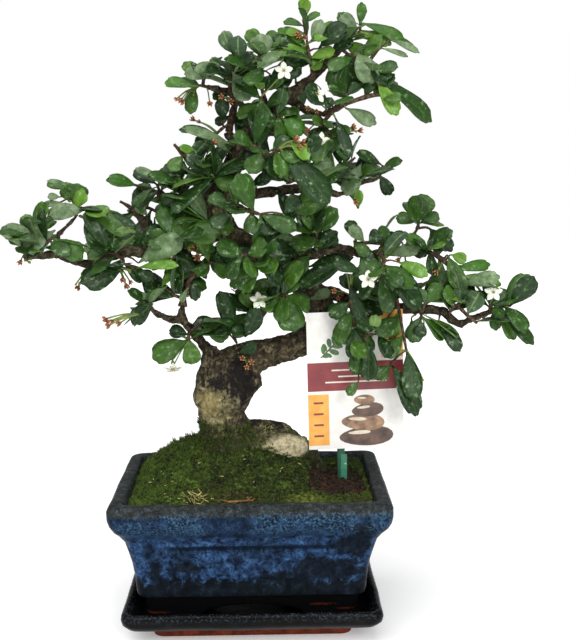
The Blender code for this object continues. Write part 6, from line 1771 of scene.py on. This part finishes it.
bmesh.ops.recalc_face_normals(card_work, faces=card_work.faces)


def ink(name, dark, light, size=6.0):
    """A printed colour under clear film, a little uneven as offset print is."""
    return plain(name, size, dark, light, 4, Roughness=0.38, Coat_Weight=0.3, Coat_Roughness=0.15)


CARD_INKS = [ink("card_white", (232, 229, 222), (246, 244, 240)),
             ink("ink_orange", (232, 158, 62), (246, 184, 84)),
             ink("ink_maroon", (118, 34, 40), (142, 46, 50)),
             ink("ink_leaf", (30, 74, 34), (74, 132, 56), 4),
             ink("ink_stem", (72, 54, 38), (104, 82, 56), 3),
             ink("ink_bronze", (92, 66, 50), (176, 138, 104), 5),
             ink("ink_umber", (44, 32, 28), (112, 84, 66), 6),
             ink("ink_shine", (206, 186, 160), (236, 226, 208), 3),
             ink("ink_cream", (232, 214, 196), (244, 232, 218), 4)]
piece("label_card_print", card_work, CARD_INKS, replaced=["label_card"], smooth=False)


# Studio. A sweep of white paper under the pot, one broad soft light from above and the front
# left, a weak panel in front and an even white surround, as for a catalogue picture.
SWEEP = 3000.0             # half the paper's length
FILL, BACKDROP = 0.38, 1.0     # the surround's strength as light and as seen


def hung(name, lamp, aim):
    """A lamp hung in the studio and aimed along a direction."""
    light = bpy.data.objects.new(name, lamp)
    bpy.context.scene.collection.objects.link(light)
    light.rotation_euler = aim.to_track_quat("-Z", "Y").to_euler()
    return light


sweep_work = bmesh.new()
bmesh.ops.create_grid(sweep_work, x_segments=4, y_segments=4, size=SWEEP)
bmesh.ops.translate(sweep_work, vec=(0, 0, -0.4), verts=sweep_work.verts)
bmesh.ops.scale(sweep_work, vec=(MM, MM, MM), verts=sweep_work.verts)
sweep = body_of("studio_sweep", sweep_work)
white_paper = Finish("white_paper", Base_Color=(0.95, 0.95, 0.95, 1), Roughness=1.0,
                     Emission_Color=(1, 1, 1, 1), Emission_Strength=0.25)
sweep.data.materials.append(white_paper.material)

world = bpy.data.worlds.new("studio")
bpy.context.scene.world = world
world.use_nodes = True
sky = world.node_tree.nodes["Background"]
sky.inputs["Color"].default_value = (1, 1, 1, 1)
seen = world.node_tree.nodes.new("ShaderNodeLightPath")
strength = world.node_tree.nodes.new("ShaderNodeMapRange")
strength.inputs["To Min"].default_value = FILL
strength.inputs["To Max"].default_value = BACKDROP
world.node_tree.links.new(seen.outputs["Is Camera Ray"], strength.inputs["Value"])
world.node_tree.links.new(strength.outputs["Result"], sky.inputs["Strength"])
sun_lamp = bpy.data.lights.new("broad_light", "SUN")
sun_lamp.energy = 2.3
sun_lamp.angle = math.radians(70)
hung("broad_light", sun_lamp, Vector((0.30, 0.42, -1.0)))
PANEL_PLACE = Vector((500, -1200, 700))
panel_lamp = bpy.data.lights.new("front_panel", "AREA")
panel_lamp.size = 500 * MM
panel_lamp.energy = 8
panel = hung("front_panel", panel_lamp, Vector((0, 0, 180)) - PANEL_PLACE)
panel.location = PANEL_PLACE * MM
bpy.context.scene.view_settings.view_transform = "Standard"


# Camera. The picture's own viewpoint: a little above the leaves' middle, seen from 67 cm.
CAMERA_PLACE = (13.0, -671.5, 284.6)
CAMERA_YAW, CAMERA_PITCH, CAMERA_ROLL = 0.76, 8.15, -0.60
FOCAL_PIXELS, FRAME_HEIGHT = 1090.0, 640

yaw, pitch, roll = (math.radians(angle) for angle in (CAMERA_YAW, CAMERA_PITCH, CAMERA_ROLL))
ahead = Vector((math.sin(yaw) * math.cos(pitch), math.cos(yaw) * math.cos(pitch), -math.sin(pitch)))
level_right = Vector((math.cos(yaw), -math.sin(yaw), 0))
level_up = level_right.cross(ahead)
right = level_right * math.cos(roll) + level_up * math.sin(roll)
up = level_up * math.cos(roll) - level_right * math.sin(roll)
camera_data = bpy.data.cameras.new("camera")
camera_data.lens = camera_data.sensor_width * FOCAL_PIXELS / FRAME_HEIGHT
camera = bpy.data.objects.new("camera", camera_data)
bpy.context.scene.collection.objects.link(camera)
turned = Matrix((right, up, -ahead)).transposed().to_4x4()
camera.matrix_world = Matrix.Translation(Vector(CAMERA_PLACE) * MM) @ turned
bpy.context.scene.camera = camera
